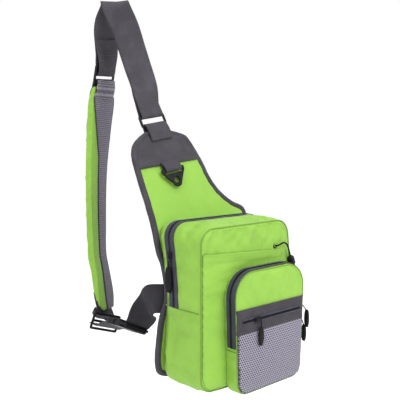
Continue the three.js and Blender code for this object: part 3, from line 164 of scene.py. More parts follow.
class Finish:
    """A material and short ways to lay its nodes. pitch is in millimetres along and across the cloth."""

    def __init__(self, name, colour, rough, sheen=0.0, level=0.3):
        self.material = bpy.data.materials.new(name)
        self.material.use_nodes = True
        self.tree = self.material.node_tree
        self.shader = self.tree.nodes["Principled BSDF"]
        for socket, value in (
                ("Base Color", (*colour, 1)), ("Roughness", rough), ("Specular IOR Level", level),
                ("Sheen Weight", sheen), ("Sheen Roughness", 0.3)):
            self.shader.inputs[socket].default_value = value
        self.place = self.node("TexCoord")

    def node(self, kind, **settings):
        made_node = self.tree.nodes.new("ShaderNode" + kind)
        for key, value in settings.items():
            setattr(made_node, key, value)
        return made_node

    def join(self, value, socket):
        if isinstance(value, bpy.types.NodeSocket):
            self.tree.links.new(value, socket)
        else:
            socket.default_value = value

    def filled(self, made_node, *values):
        for value, socket in zip(values, made_node.inputs):
            self.join(value, socket)
        return made_node

    def sum(self, kind, *values):
        return self.filled(self.node("Math", operation=kind), *values).outputs[0]

    def vector(self, kind, *values):
        made_node = self.filled(self.node("VectorMath", operation=kind), *values)
        return made_node.outputs["Value" if kind == "LENGTH" else "Vector"]

    def cloth_place(self):
        return self.place.outputs["UV"]

    def part_place(self):
        """The place on the bag, in millimetres."""
        scale = self.node("Mapping", vector_type="POINT")
        self.join(self.place.outputs["Object"], scale.inputs["Vector"])
        scale.inputs["Scale"].default_value = (1 / MILLIMETRE,) * 3
        return scale.outputs[0]

    def blotches(self, size, detail=3.0):
        cloud = self.node("TexNoise")
        self.join(self.part_place(), cloud.inputs["Vector"])
        cloud.inputs["Scale"].default_value = 1 / size
        cloud.inputs["Detail"].default_value = detail
        return cloud.outputs["Fac"]

    def ranged(self, value, low, high, start, end):
        made_node = self.node("MapRange", interpolation_type="SMOOTHSTEP")
        return self.filled(made_node, value, low, high, start, end).outputs[0]

    def mixed(self, share, first, second):
        made_node = self.node("Mix", data_type="RGBA")
        self.join(share, made_node.inputs[0])
        for index, entry in ((6, first), (7, second)):
            if isinstance(entry, tuple) and len(entry) == 3:
                entry = (*entry, 1)
            self.join(entry, made_node.inputs[index])
        return made_node.outputs[2]

    def ridges(self, axis, pitch):
        """Rounded ridges that repeat along one axis of the cloth, from 0 to 1."""
        parts = self.node("SeparateXYZ")
        self.join(self.cloth_place(), parts.inputs[0])
        wave = self.sum("SINE", self.sum("MULTIPLY", parts.outputs[axis], math.tau / pitch))
        return self.sum("MULTIPLY_ADD", wave, 0.5, 0.5)

    def weave(self, pitch):
        """Plain weave: threads of one pitch that pass over and under each other."""
        check = self.node("TexChecker")
        self.join(self.cloth_place(), check.inputs["Vector"])
        check.inputs["Scale"].default_value = 1 / pitch
        over = self.sum("MULTIPLY", check.outputs["Fac"], self.ridges(0, pitch))
        under = self.sum("MULTIPLY", self.sum("SUBTRACT", 1.0, check.outputs["Fac"]), self.ridges(1, pitch))
        return self.sum("ADD", over, under)

    def raised(self, height, depth, strength=1.0):
        """Relief from a height of 0 to 1 that stands for depth millimetres."""
        bump = self.node("Bump")
        self.join(height, bump.inputs["Height"])
        bump.inputs["Strength"].default_value = strength
        bump.inputs["Distance"].default_value = depth * MILLIMETRE
        if self.shader.inputs["Normal"].links:
            self.join(self.shader.inputs["Normal"].links[0].from_socket, bump.inputs["Normal"])
        self.join(bump.outputs[0], self.shader.inputs["Normal"])

    def coloured(self, socket):
        self.join(socket, self.shader.inputs["Base Color"])


def darker(colour, share):
    return tuple(c * share for c in colour)


BRAID_COLOUR = (0.005, 0.005, 0.006)
braid = Finish("braided_cord", BRAID_COLOUR, 0.8, level=0.1)
crossing = braid.sum("ADD", braid.ridges(1, 2.4), braid.ridges(0, 1.57))
braid.coloured(braid.mixed(crossing, darker(BRAID_COLOUR, 0.5), darker(BRAID_COLOUR, 2.2)))
braid.raised(crossing, 0.25)
cord_places = [Vector(p) for p in blended(DRAWCORD_ROUTE, 1.2)]
cord_shape = swept(led(cord_places, Vector((0, 1, 0.2))), [circle(1.5, 12)] * len(cord_places))
drawcord = made("drawcord_braid", *cord_shape[:2], braid.material, "dark_cord", cord_shape[2], ["drawcord"])

# Moulded fittings
# The rings, three-bar sliders, buckle, eyelet and cord lock are black acetal with a fine spark-eroded grain.
# Their edges are rounded by the mould.
PLASTIC_COLOUR = (0.006, 0.006, 0.007)
plastic = Finish("black_acetal", PLASTIC_COLOUR, 0.4, level=0.13)
grain = plastic.blotches(0.5, 4.0)
plastic.coloured(plastic.mixed(
    plastic.ranged(plastic.blotches(9.0), 0.35, 0.7, 0.0, 1.0), PLASTIC_COLOUR, (0.013, 0.013, 0.015)))
plastic.join(plastic.ranged(grain, 0.2, 0.8, 0.3, 0.5), plastic.shader.inputs["Roughness"])
plastic.raised(grain, 0.05, 0.5)


def rounded_edges(name, width):
    node = nodes[name]
    node.data.materials.clear()
    node.data.materials.append(plastic.material)
    weld = node.modifiers.new("weld", "WELD")
    weld.merge_threshold = 0.00002
    bevel = node.modifiers.new("rounding", "BEVEL")
    bevel.width = width * MILLIMETRE
    bevel.segments = 3
    bevel.limit_method = "ANGLE"
    bevel.angle_limit = math.radians(25)
    bevel.harden_normals = False
    smooth = node.modifiers.new("smooth", "WEIGHTED_NORMAL")
    smooth.keep_sharp = True
    node.data.polygons.foreach_set("use_smooth", [True] * len(node.data.polygons))


for fitting, width in (
        ("strap_ring", 0.7), ("pad_slider", 0.7), ("tail_slider", 0.7), ("tab_ring", 0.6),
        ("buckle_socket", 0.8), ("buckle_plug", 0.7), ("cord_lock", 0.5), ("eyelet", 0.25),
        ("main_zip_slider", 0.35), ("hem_slider", 0.35), ("pocket_slider_upper", 0.35),
        ("pocket_slider_lower", 0.35)):
    rounded_edges(fitting, width)


# Back panel
# Lime green nylon taffeta over an 8 mm sheet of foam, so the other pieces have something firm to be sewn to.
# The rear layer lies on the wearer's back and is grey spacer mesh, with channels sewn into it for air.
PANEL_FOOT = -671
PANEL_TOP = -235
PANEL_MIDDLE = 90
PANEL_WIDTH = 240
BINDING_WIDTH = 11
PANEL_COLUMNS = 49
FRONT_FACE = -255
TO_FRONT = Vector((0, -1, 0))
TO_BACK = Vector((0, 1, 0))
GREEN = (0.278, 0.530, 0.070)
MESH_GREY = (0.205, 0.190, 0.235)
# Left edge, its height, right edge and its height, as shares of the panel's width and of its height
PANEL_ROWS = [
    (-0.358, 0.987, -0.142, 1), (-0.433, 0.963, 0.004, 0.982), (-0.5, 0.931, 0.054, 0.959),
    (-0.529, 0.888, 0.104, 0.908), (-0.527, 0.835, 0.146, 0.856), (-0.517, 0.766, 0.183, 0.794),
    (-0.504, 0.711, 0.25, 0.736), (-0.5, 0.677, 0.358, 0.688), (-0.492, 0.645, 0.479, 0.656),
    (-0.485, 0.594, 0.512, 0.594), (-0.479, 0.514, 0.521, 0.514), (-0.454, 0.468, 0.525, 0.468),
    (-0.442, 0.399, 0.529, 0.399), (-0.442, 0.353, 0.529, 0.353), (-0.446, 0.319, 0.525, 0.319),
    (-0.487, 0.252, 0.521, 0.252), (-0.502, 0.17, 0.517, 0.17), (-0.508, 0.106, 0.508, 0.106),
    (-0.5, 0.06, 0.492, 0.06), (-0.467, 0.023, 0.45, 0.023), (-0.367, 0, 0.367, 0),
]
# Height as a share of the panel's, and the depth of its middle behind the front face
BACK_LINE = [(0, 103), (0.17, 97), (0.353, 91), (0.514, 102), (0.668, 120), (1, 172)]


def curved(points, count):
    """More points on a smooth curve through a list of points, count to each stretch."""
    first = tuple(2 * a - b for a, b in zip(points[0], points[1]))
    last = tuple(2 * a - b for a, b in zip(points[-1], points[-2]))
    full = [first, *points, last]
    found = []
    for k in range(1, len(full) - 2):
        for i in range(count):
            t = i / count
            found.append(tuple(
                0.5 * (2 * q + (r - p) * t + (2 * p - 5 * q + 4 * r - s) * t ** 2
                       + (3 * q - p - 3 * r + s) * t ** 3)
                for p, q, r, s in zip(*full[k - 1:k + 3])))
    return found + [tuple(points[-1])]


def moved_in(loop, inset):
    """A closed outline, walked anticlockwise seen from the front, moved towards its inside."""
    found = []
    for k, (x, z) in enumerate(loop):
        (x0, z0), (x1, z1) = loop[k - 2], loop[(k + 2) % len(loop)]
        size = math.hypot(x1 - x0, z1 - z0)
        found.append((x - (z1 - z0) / size * inset, z + (x1 - x0) / size * inset))
    return found


def panel_depth(z):
    """Where the panel's middle layer lies at a height, with its bends rounded."""
    total = 0.0
    for lift in (-12, -6, 0, 6, 12):
        share = (z + lift - PANEL_FOOT) / (PANEL_TOP - PANEL_FOOT)
        k = min(sum(share > row[0] for row in BACK_LINE[1:]), len(BACK_LINE) - 2)
        (low, near), (high, far) = BACK_LINE[k:k + 2]
        total += near + (far - near) * (share - low) / (high - low)
    return FRONT_FACE + total / 5


def nearest(point, loop):
    """Distance to an outline, and how far round it that place is."""
    gaps = [(point[0] - x) ** 2 + (point[1] - z) ** 2 for x, z in loop]
    k = min(range(len(gaps)), key=gaps.__getitem__)
    return math.sqrt(gaps[k]), k


def quilted(front, back):
    """A closed layer from two sheets of points with the same rows, and its cloth places."""
    rows, columns = len(front), len(front[0])
    points = [p for row in front for p in row] + [p for row in back for p in row]
    faces = []
    for k in range(rows - 1):
        for i in range(columns - 1):
            a = k * columns + i
            faces.append((a, a + 1, a + columns + 1, a + columns))
            faces.append(tuple(rows * columns + v for v in (a + columns, a + columns + 1, a + 1, a)))
    rim = list(range(columns))
    rim += [k * columns + columns - 1 for k in range(1, rows)]
    rim += [(rows - 1) * columns + i for i in range(columns - 2, -1, -1)]
    rim += [k * columns for k in range(rows - 2, 0, -1)]
    for k, a in enumerate(rim):
        b = rim[(k + 1) % len(rim)]
        faces.append((a, rows * columns + a, rows * columns + b, b))
    corners = [(points[v][0] + 500, points[v][2] + 900) for face in faces for v in face]
    return points, faces, corners


def sheets(rows, columns, places):
    """The two sheets of a layer, by a rule that gives the front and rear places of a row and a column."""
    pairs = [[places(k, i) for i in range(columns)] for k in range(rows)]
    return [[front for front, _ in row] for row in pairs], [[rear for _, rear in row] for row in pairs]


def taffeta(name, colour):
    """Nylon cloth: a fine plain weave with a soft sheen, and creased and worn patches."""
    cloth = Finish(name, colour, 0.62, sheen=0.12, level=0.25)
    shades = cloth.mixed(cloth.ranged(cloth.blotches(38.0, 4.0), 0.35, 0.68, 0.0, 1.0),
                         darker(colour, 0.86), darker(colour, 1.08))
    thread = cloth.weave(0.55)
    shades = cloth.mixed(cloth.sum("MULTIPLY", thread, 0.45), darker(colour, 0.72), shades)
    cloth.coloured(shades)
    cloth.join(cloth.ranged(cloth.blotches(14.0), 0.3, 0.7, 0.54, 0.72), cloth.shader.inputs["Roughness"])
    cloth.raised(cloth.blotches(11.0, 5.0), 0.7, 0.5)
    cloth.raised(thread, 0.12, 0.5)
    return cloth.material


def spacer_mesh(name, colour):
    """Knitted spacer fabric: round holes in staggered rows over a darker layer."""
    knit = Finish(name, colour, 0.8, sheen=0.1, level=0.2)
    hole = 4.4
    tall = hole * math.sqrt(3)
    near = None
    for shift in (0.0, 0.5):
        moved = knit.vector("ADD", knit.cloth_place(), (shift * hole, shift * tall, 0))
        cell = knit.vector("MODULO", moved, (hole, tall, 1))
        away = knit.vector("LENGTH", knit.vector("MULTIPLY", knit.vector(
            "SUBTRACT", cell, (hole / 2, tall / 2, 0)), (1, 1, 0)))
        near = away if near is None else knit.sum("MINIMUM", near, away)
    solid = knit.ranged(near, hole * 0.26, hole * 0.36, 0.0, 1.0)
    yarn = knit.weave(0.4)
    shade = knit.mixed(yarn, darker(colour, 0.75), darker(colour, 1.15))
    knit.coloured(knit.mixed(solid, darker(colour, 0.12), shade))
    knit.raised(knit.blotches(9.0), 0.6, 0.5)
    knit.raised(solid, 0.8, 0.9)
    return knit.material


green_cloth = taffeta("lime_taffeta", GREEN)
back_mesh = spacer_mesh("back_spacer_mesh", MESH_GREY)
panel_size = PANEL_TOP - PANEL_FOOT
panel_left = curved([(PANEL_MIDDLE + a * PANEL_WIDTH, PANEL_FOOT + b * panel_size)
                     for a, b, _, _ in PANEL_ROWS], 5)
panel_right = curved([(PANEL_MIDDLE + c * PANEL_WIDTH, PANEL_FOOT + d * panel_size)
                      for _, _, c, d in PANEL_ROWS], 5)
top_run = curved([panel_left[2], panel_left[0], panel_right[0], panel_right[2]], 8)[9:16]
foot_run = curved([panel_right[-3], panel_right[-1], panel_left[-1], panel_left[-3]], 24)[25:48]
panel_loop = panel_left + foot_run[::-1] + panel_right[::-1] + top_run[::-1]
sewn_loop = moved_in(panel_loop, BINDING_WIDTH - 3)
sewn_left = sewn_loop[:len(panel_left)]
sewn_right = sewn_loop[len(panel_left) + len(foot_run):][:len(panel_right)][::-1]
CHANNEL_STEPS = 60
CHANNEL_LINES = [  # x, z of both ends of each sewn channel on the rear
    (62, -330, 62, -640), (128, -420, 128, -640), (50, -445, 190, -445), (50, -550, 190, -550),
]


def channel_gap(x, z):
    """Distance to the nearest sewn channel."""
    gaps = []
    for x0, z0, x1, z1 in CHANNEL_LINES:
        share = ((x - x0) * (x1 - x0) + (z - z0) * (z1 - z0)) / ((x1 - x0) ** 2 + (z1 - z0) ** 2)
        share = min(max(share, 0.0), 1.0)
        gaps.append(math.hypot(x - x0 - share * (x1 - x0), z - z0 - share * (z1 - z0)))
    return min(gaps)


def panel_relief(x, z):
    """How far the front and the rear of the panel stand off its middle plane."""
    gap, place = nearest((x, z), sewn_loop)
    crown = 2.2 + 2.0 * (1 - math.exp(-gap / 9))
    pucker = 0.55 * math.sin(place * 1.9 + 2 * noise.noise((x / 30, 0, z / 30))) * math.exp(-gap / 7)
    wave = 0.9 * noise.noise((x / 45, 1.3, z / 45)) * (1 - math.exp(-gap / 20))
    raise_back = 5.0 * (1 - math.exp(-max(min(gap, channel_gap(x, z)) - 1.5, 0) / 8)) - 1.8
    inland = min(max((x - 28) / 22, 0.0), 1.0)
    return crown + pucker + wave, crown + pucker * 0.6 + raise_back * inland


def panel_places(k, i):
    """The panel's front and rear in a row and a column."""
    (x0, z0), (x1, z1) = sewn_left[k], sewn_right[k]
    share = i / (PANEL_COLUMNS - 1)
    x, z = x0 + (x1 - x0) * share, z0 + (z1 - z0) * share
    front_relief, rear_relief = panel_relief(x, z)
    return (x, panel_depth(z) - front_relief, z), (x, panel_depth(z) + rear_relief, z)


panel_shape = quilted(*sheets(len(sewn_left), PANEL_COLUMNS, panel_places))
back_panel = made("back_panel_cloth", *panel_shape[:2], green_cloth, "green_cloth", panel_shape[2],
                  ["back_panel"])
back_panel.data.materials.append(back_mesh)
for k in range((len(sewn_left) - 1) * (PANEL_COLUMNS - 1)):
    back_panel.data.polygons[2 * k + 1].material_index = 1

# Panel binding
# Grosgrain tape of dark grey polyester, folded round the edge of the panel and sewn through all the layers
# with one row of stitches a side. It puckers a little where the edge turns. The channels of the panel's rear
# are sewn in the same thread.
WEBBING_GREY = (0.043, 0.039, 0.048)
THREAD_GREY = (0.11, 0.105, 0.12)
LINE_STEPS = 59  # steps along a line that stitches follow


def pillow(wide, thick, power, count):
    """A rounded section, squarer as power gets smaller."""
    found = []
    for k in range(count):
        a = math.tau * k / count
        c, s = math.cos(a), math.sin(a)
        found.append((math.copysign(abs(c) ** power, c) * wide / 2,
                      math.copysign(abs(s) ** power, s) * thick / 2))
    return found


def woven_tape(name, colour, pitch, rough=0.72):
    """Webbing or grosgrain: ribs along the cloth, each of crossed yarns, lighter where the ribs stand up."""
    tape = Finish(name, colour, rough, sheen=0.08, level=0.2)
    ribs = tape.ridges(0, pitch)
    yarn = tape.ridges(1, pitch * 0.55)
    relief = tape.sum("MULTIPLY_ADD", yarn, 0.45, tape.sum("MULTIPLY", ribs, 0.55))
    shades = tape.mixed(relief, darker(colour, 0.55), darker(colour, 1.35))
    worn = tape.ranged(tape.blotches(26.0, 5.0), 0.42, 0.7, 0.0, 0.35)
    tape.coloured(tape.mixed(worn, shades, darker(colour, 1.9)))
    tape.raised(relief, 0.35, 0.8)
    return tape.material


def sewn(name, places, faces_out, thread, length=2.6, pitch=3.8, thick=0.7, slot="dark_webbing"):
    """Stitches along a line: short raised threads on cloth that faces one way, or a way for each place."""
    if isinstance(faces_out, Vector):
        faces_out = [faces_out] * len(places)
    points, faces = [], []
    run, due = 0.0, 0.0
    for k in range(len(places) - 1):
        here, there = places[k], places[k + 1]
        size = (there - here).length
        while size > 1e-6 and due <= run + size:
            share = (due - run) / size
            middle = here.lerp(there, share)
            out = faces_out[k].lerp(faces_out[k + 1], share).normalized()
            along = (there - here) / size
            side = along.cross(out).normalized()
            middle += out * thick * 0.25
            start = len(points)
            points += [tuple(middle + v) for v in (
                along * length / 2, side * thick / 2, out * thick / 2, -side * thick / 2,
                -out * thick / 2, -along * length / 2)]
            for i in range(4):
                a, b = 1 + i, 1 + (i + 1) % 4
                faces += [(start, start + a, start + b), (start + 5, start + b, start + a)]
            due += pitch
        run += size
    made(name, points, faces, thread, slot)


binding_tape = woven_tape("grosgrain_binding", WEBBING_GREY, 1.5)
thread = Finish("sewing_thread", THREAD_GREY, 0.6)
thread.coloured(thread.mixed(thread.blotches(1.2), darker(THREAD_GREY, 0.7), darker(THREAD_GREY, 1.4)))
dark_thread = thread.material
lime = Finish("lime_thread", GREEN, 0.55)
lime.coloured(lime.mixed(lime.blotches(1.2), darker(GREEN, 0.6), darker(GREEN, 0.95)))
lime_thread = lime.material
binding_frames, binding_sections = [], []
middle_loop = moved_in(panel_loop, BINDING_WIDTH / 2)
for k in range(len(middle_loop) + 1):
    (x, z), (edge_x, edge_z) = middle_loop[k % len(middle_loop)], panel_loop[k % len(panel_loop)]
    inward = Vector((x - edge_x, 0, z - edge_z)).normalized()
    binding_frames.append((Vector((x, panel_depth(z), z)), inward, Vector((0, 1, 0))))
    full = 8.6 + 0.5 * math.sin(k * 1.9) + 0.4 * noise.noise((k * 0.35, 0, 7))
    binding_sections.append(
        [(a, b * (1.0 if a < 3 else 0.86)) for a, b in pillow(BINDING_WIDTH, full, 0.55, 14)])
binding_shape = swept(binding_frames, binding_sections, capped=False)
panel_binding = made("panel_binding_tape", *binding_shape[:2], binding_tape, "dark_webbing",
                     binding_shape[2], ["panel_binding"])
weld = panel_binding.modifiers.new("closing", "WELD")
weld.merge_threshold = 0.00001
line = moved_in(panel_loop, BINDING_WIDTH - 3.2)
for out, name in ((TO_FRONT, "front"), (TO_BACK, "back")):
    places = [Vector((x, panel_depth(z) + out.y * 4.15, z)) for x, z in line + line[:1]]
    sewn(f"binding_stitches_{name}", places, out, dark_thread)

for k, (x0, z0, x1, z1) in enumerate(CHANNEL_LINES):
    places = []
    for i in range(CHANNEL_STEPS + 1):
        x, z = x0 + (x1 - x0) * i / CHANNEL_STEPS, z0 + (z1 - z0) * i / CHANNEL_STEPS
        places.append(Vector((x, panel_depth(z) + panel_relief(x, z)[1] + 0.9, z)))
    sewn(f"panel_channel_stitches_{k}", places, TO_BACK, dark_thread, thick=1.2)

# Yoke patch
# A facing of dark grey polyester sewn over the top of the panel, with a turned hem at its lower edge. It
# takes the pull of the two ring tabs. Rows: left x, left z, right x and right z.
YOKE_THICK = 1.2
YOKE_ROWS = [
    (7.7, -251.6, 55.3, -246.4), (-7.3, -260.4, 85.8, -253.3), (-20.4, -271.7, 94, -260.2),
    (-25.6, -285.7, 104.8, -280.1), (-25.2, -306, 109, -289.5),
]


def dark_cloth(name, colour):
    """Dense polyester cloth with a basket weave."""
    cloth = Finish(name, colour, 0.7, sheen=0.08, level=0.2)
    thread_relief = cloth.weave(0.8)
    shades = cloth.mixed(thread_relief, darker(colour, 0.6), darker(colour, 1.3))
    worn = cloth.ranged(cloth.blotches(22.0, 5.0), 0.4, 0.7, 0.0, 0.3)
    cloth.coloured(cloth.mixed(worn, shades, darker(colour, 1.8)))
    cloth.raised(cloth.blotches(13.0), 0.5, 0.5)
    cloth.raised(thread_relief, 0.2, 0.6)
    return cloth.material


yoke_cloth = dark_cloth("yoke_polyester", darker(WEBBING_GREY, 0.95))
yoke_rows = curved(YOKE_ROWS, 6)
YOKE_HEM_ROW = len(yoke_rows) - 1
YOKE_COLUMNS = 29


def yoke_places(k, i):
    """The patch's front and rear in a row and a column. Its edges lie down on the panel."""
    x0, z0, x1, z1 = yoke_rows[k]
    share = i / (YOKE_COLUMNS - 1)
    x, z = x0 + (x1 - x0) * share, z0 + (z1 - z0) * share
    x += 5 * (2 * share - 1)
    z += 5 * max(1 - k / 12, 0)
    hem = 0.9 if k >= YOKE_HEM_ROW - 3 else 0.0
    pucker = 0.35 * math.sin(x * 0.7 + z * 0.4) * math.exp((k - YOKE_HEM_ROW) / 3)
    lift = 0.5 * noise.noise((x / 18, 4.1, z / 18)) + pucker
    edge = min(min(share, 1 - share) * (x1 - x0), 1.6 * k)
    rest = panel_depth(z) - 4.3 + 2.6 * math.exp(-edge / 4)
    return (x, rest - YOKE_THICK - hem - lift, z), (x, rest, z)


yoke_front, yoke_back = sheets(len(yoke_rows), YOKE_COLUMNS, yoke_places)
yoke_shape = quilted(yoke_front, yoke_back)
yoke_patch = made("yoke_patch_cloth", *yoke_shape[:2], yoke_cloth, "dark_cloth", yoke_shape[2],
                  ["yoke_patch"])
hem_left, hem_right = YOKE_ROWS[-1][:2], YOKE_ROWS[-1][2:]
for lift, name in ((2.0, "lower"), (6.0, "upper")):
    places = []
    for i in range(LINE_STEPS + 1):
        share = 0.02 + 0.96 * i / LINE_STEPS
        x = hem_left[0] + (hem_right[0] - hem_left[0]) * share
        z = hem_left[1] + (hem_right[1] - hem_left[1]) * share + lift
        places.append(Vector((x, panel_depth(z) - 4.3 - YOKE_THICK - 1.0, z)))
    sewn(f"yoke_stitches_{name}", places, TO_FRONT, dark_thread, slot="dark_cloth")

# Shoulder strap
# Dark grey polyester webbing, 50 mm wide. It is sewn to the rectangular ring, runs up over the shoulder,
# passes round the bars of the upper slider and doubles back on itself. Rows: place, then the way its width
# runs.
STRAP_WIDTH = 50
STRAP_THICK = 1.8
STRAP_STEPS = 12  # steps across a strap
SHOULDER_STRAP = [
    (0.3, 25.3, -63.9, 0.99, -0.13, 0.07), (2.6, 28.7, -79.3, 0.99, 0.04, 0.13),
    (4.6, 30.0, -92.5, 0.98, 0.17, 0.08), (6.0, 33.8, -113.5, 0.94, 0.32, 0.08),
    (5.8, 37.3, -126.5, 0.94, 0.32, 0.08), (5.5, 38.8, -129.2, 0.94, 0.32, 0.08),
    (3.8, 43.9, -129.5, 0.94, 0.32, 0.08), (3.1, 45.5, -127.0, 0.94, 0.32, 0.08),
    (3.3, 41.9, -113.9, 0.94, 0.32, 0.08), (3.2, 40.1, -104.3, 0.96, 0.28, 0.05),
    (3.4, 36.2, -90.8, 0.98, 0.17, 0.08), (1.5, 30.6, -71.6, 0.99, -0.01, 0.10),
    (-1.2, 21.4, -43.1, 0.92, -0.38, -0.11), (-0.8, 19.1, -36.0, 0.86, -0.44, -0.26),
    (2.7, 13.7, -20.5, 0.73, -0.55, -0.40), (5.0, 9.5, -11.0, 0.76, -0.54, -0.37),
    (3.4, 4.8, -3.2, 0.76, -0.65, -0.05), (1.4, 2.2, -0.2, 0.78, -0.62, -0.05),
    (-0.2, -0.3, 0.9, 0.90, -0.44, 0.04), (-1.3, -2.9, -0.6, 0.84, -0.51, 0.17),
    (-2.6, -7.7, -6.8, 0.78, -0.53, 0.33), (-1.9, -9.8, -11.4, 0.70, -0.60, 0.38),
    (1.5, -12.9, -22.4, 0.67, -0.63, 0.40), (6.0, -16.3, -34.4, 0.68, -0.60, 0.43),
    (10.6, -20.3, -49.1, 0.78, -0.54, 0.33), (16.4, -29.0, -80.1, 0.86, -0.43, 0.27),
    (21.0, -38.1, -109.4, 0.89, -0.38, 0.25), (22.9, -42.4, -122.4, 0.90, -0.35, 0.27),
    (26.6, -49.9, -144.7, 0.93, -0.30, 0.20), (26.8, -54.4, -155.4, 0.95, -0.30, 0.06),
    (22.4, -65.5, -175.3, 0.98, -0.19, -0.10), (21.5, -70.2, -184.7, 1.00, 0.01, 0.04),
    (24.4, -75.7, -200.6, 0.97, 0.08, 0.22), (26.2, -78.3, -208.5, 0.98, 0.06, 0.17),
    (27.0, -76.8, -213.6, 0.98, 0.06, 0.17), (26.7, -71.5, -213.7, 0.98, 0.06, 0.17),
    (24.4, -68.3, -203.0, 0.97, 0.08, 0.22), (21.6, -65.3, -186.8, 1.00, 0.01, 0.04),
    (22.9, -62.0, -177.3, 0.98, -0.19, -0.10), (27.6, -52.0, -156.6, 0.95, -0.30, 0.06),
    (27.6, -47.4, -145.6, 0.93, -0.30, 0.20), (24.1, -39.9, -123.0, 0.90, -0.35, 0.27),
    (22.2, -35.7, -110.0, 0.89, -0.38, 0.25), (17.8, -26.6, -80.6, 0.86, -0.43, 0.27),
    (15.8, -23.1, -68.5, 0.84, -0.46, 0.28),
]


def ribbon_frames(rows, step=3.0):
    """Frames of a strap from rows of a place and the way its width runs."""
    more = blended(rows, step)
    places = [Vector(row[:3]) for row in more]
    frames = []
    for k, row in enumerate(more):
        along = heading(places, k)
        across = squared(Vector(row[3:6]), along)
        frames.append((places[k], across, along.cross(across)))
    return frames


def webbing_strap(node, rows, finish, wide=STRAP_WIDTH, thick=STRAP_THICK):
    """Makes a strap with thicker woven edges and a slight wave. Returns its frames."""
    frames = ribbon_frames(rows)
    sections = []
    half = wide / 2
    for k in range(len(frames)):
        wave = 0.18 * noise.noise((k * 0.22, 2.7, 0))
        top, low = [], []
        for i in range(STRAP_STEPS + 1):
            a = -half + wide * i / STRAP_STEPS
            edge = 0.12 * (math.exp(-(half - abs(a)) / 1.6))
            bow = wave * math.sin(a * 0.16 + k * 0.3)
            top.append((a, thick / 2 * (0.92 + edge) + bow))
            low.append((a, -thick / 2 * (0.92 + edge) + bow))
        sections.append([(-half - 0.4, 0), *top, (half + 0.4, 0), *reversed(low)])
    shape = swept(frames, sections)
    made(f"{node}_webbing", *shape[:2], finish, "dark_webbing", shape[2], [node])
    return frames


def sewn_across(name, frames, at, lift, wide=STRAP_WIDTH - 6):
    """Stitches across a strap, on the side that lift goes to."""
    steps = 23
    place, across, face = frames[at]
    places = [place + face * lift + across * (wide * (i / steps - 0.5)) for i in range(steps + 1)]
    sewn(name, places, face * math.copysign(1, lift), dark_thread)


webbing = woven_tape("polyester_webbing", WEBBING_GREY, 2.0)
strap_frames = webbing_strap("shoulder_strap", SHOULDER_STRAP, webbing)
for k, share in enumerate((0.045, 0.06, 0.935, 0.95)):
    at = round(share * (len(strap_frames) - 1))
    for side in (-1, 1):
        sewn_across(f"strap_stitches_{k}_{'under' if side < 0 else 'over'}", strap_frames, at,
                    side * STRAP_THICK / 2)

# Ring tabs
# The rectangular ring hangs in a folded tab of the same webbing, sewn under the yoke's edge. A narrower tab
# lower down holds the triangular ring. Both are fixed with a box of stitches.
RING_TAB = [
    (35.2, -96.9, -253.4, 0.98, 0.06, 0.17), (31.2, -89.6, -233.0, 0.98, 0.06, 0.17),
    (29.8, -84.8, -226.4, 0.98, 0.06, 0.17), (29.3, -83.1, -224.3, 0.98, 0.06, 0.17),
    (29.0, -77.7, -224.4, 0.98, 0.06, 0.17), (29.3, -76.1, -226.7, 0.98, 0.06, 0.17),
    (29.8, -76.2, -229.5, 0.98, 0.06, 0.17), (31.2, -78.2, -237.1, 0.98, 0.06, 0.17),
    (34.1, -83.6, -251.9, 0.98, 0.06, 0.17),
]
RING_STRAP_TAB = [
    (35.6, -111.0, -292.9, 0.98, 0.06, 0.17), (38.5, -116.3, -307.7, 0.98, 0.06, 0.17),
    (38.9, -117.9, -309.7, 0.98, 0.06, 0.17), (39.2, -122.7, -309.5, 0.98, 0.06, 0.17),
    (38.9, -124.1, -307.4, 0.98, 0.06, 0.17), (37.3, -120.5, -299.5, 0.98, 0.06, 0.17),
    (35.6, -112.8, -292.3, 0.98, 0.06, 0.17),
]
tab_frames = webbing_strap("ring_tab", RING_TAB, webbing)
loop_frames = webbing_strap("ring_strap_tab", RING_STRAP_TAB, webbing, wide=38, thick=1.6)
for k, at in enumerate((2, 4)):
    sewn_across(f"ring_tab_stitches_{k}", tab_frames, at, STRAP_THICK / 2)
    sewn_across(f"ring_strap_tab_stitches_{k}", loop_frames, at, -1.2, 32)

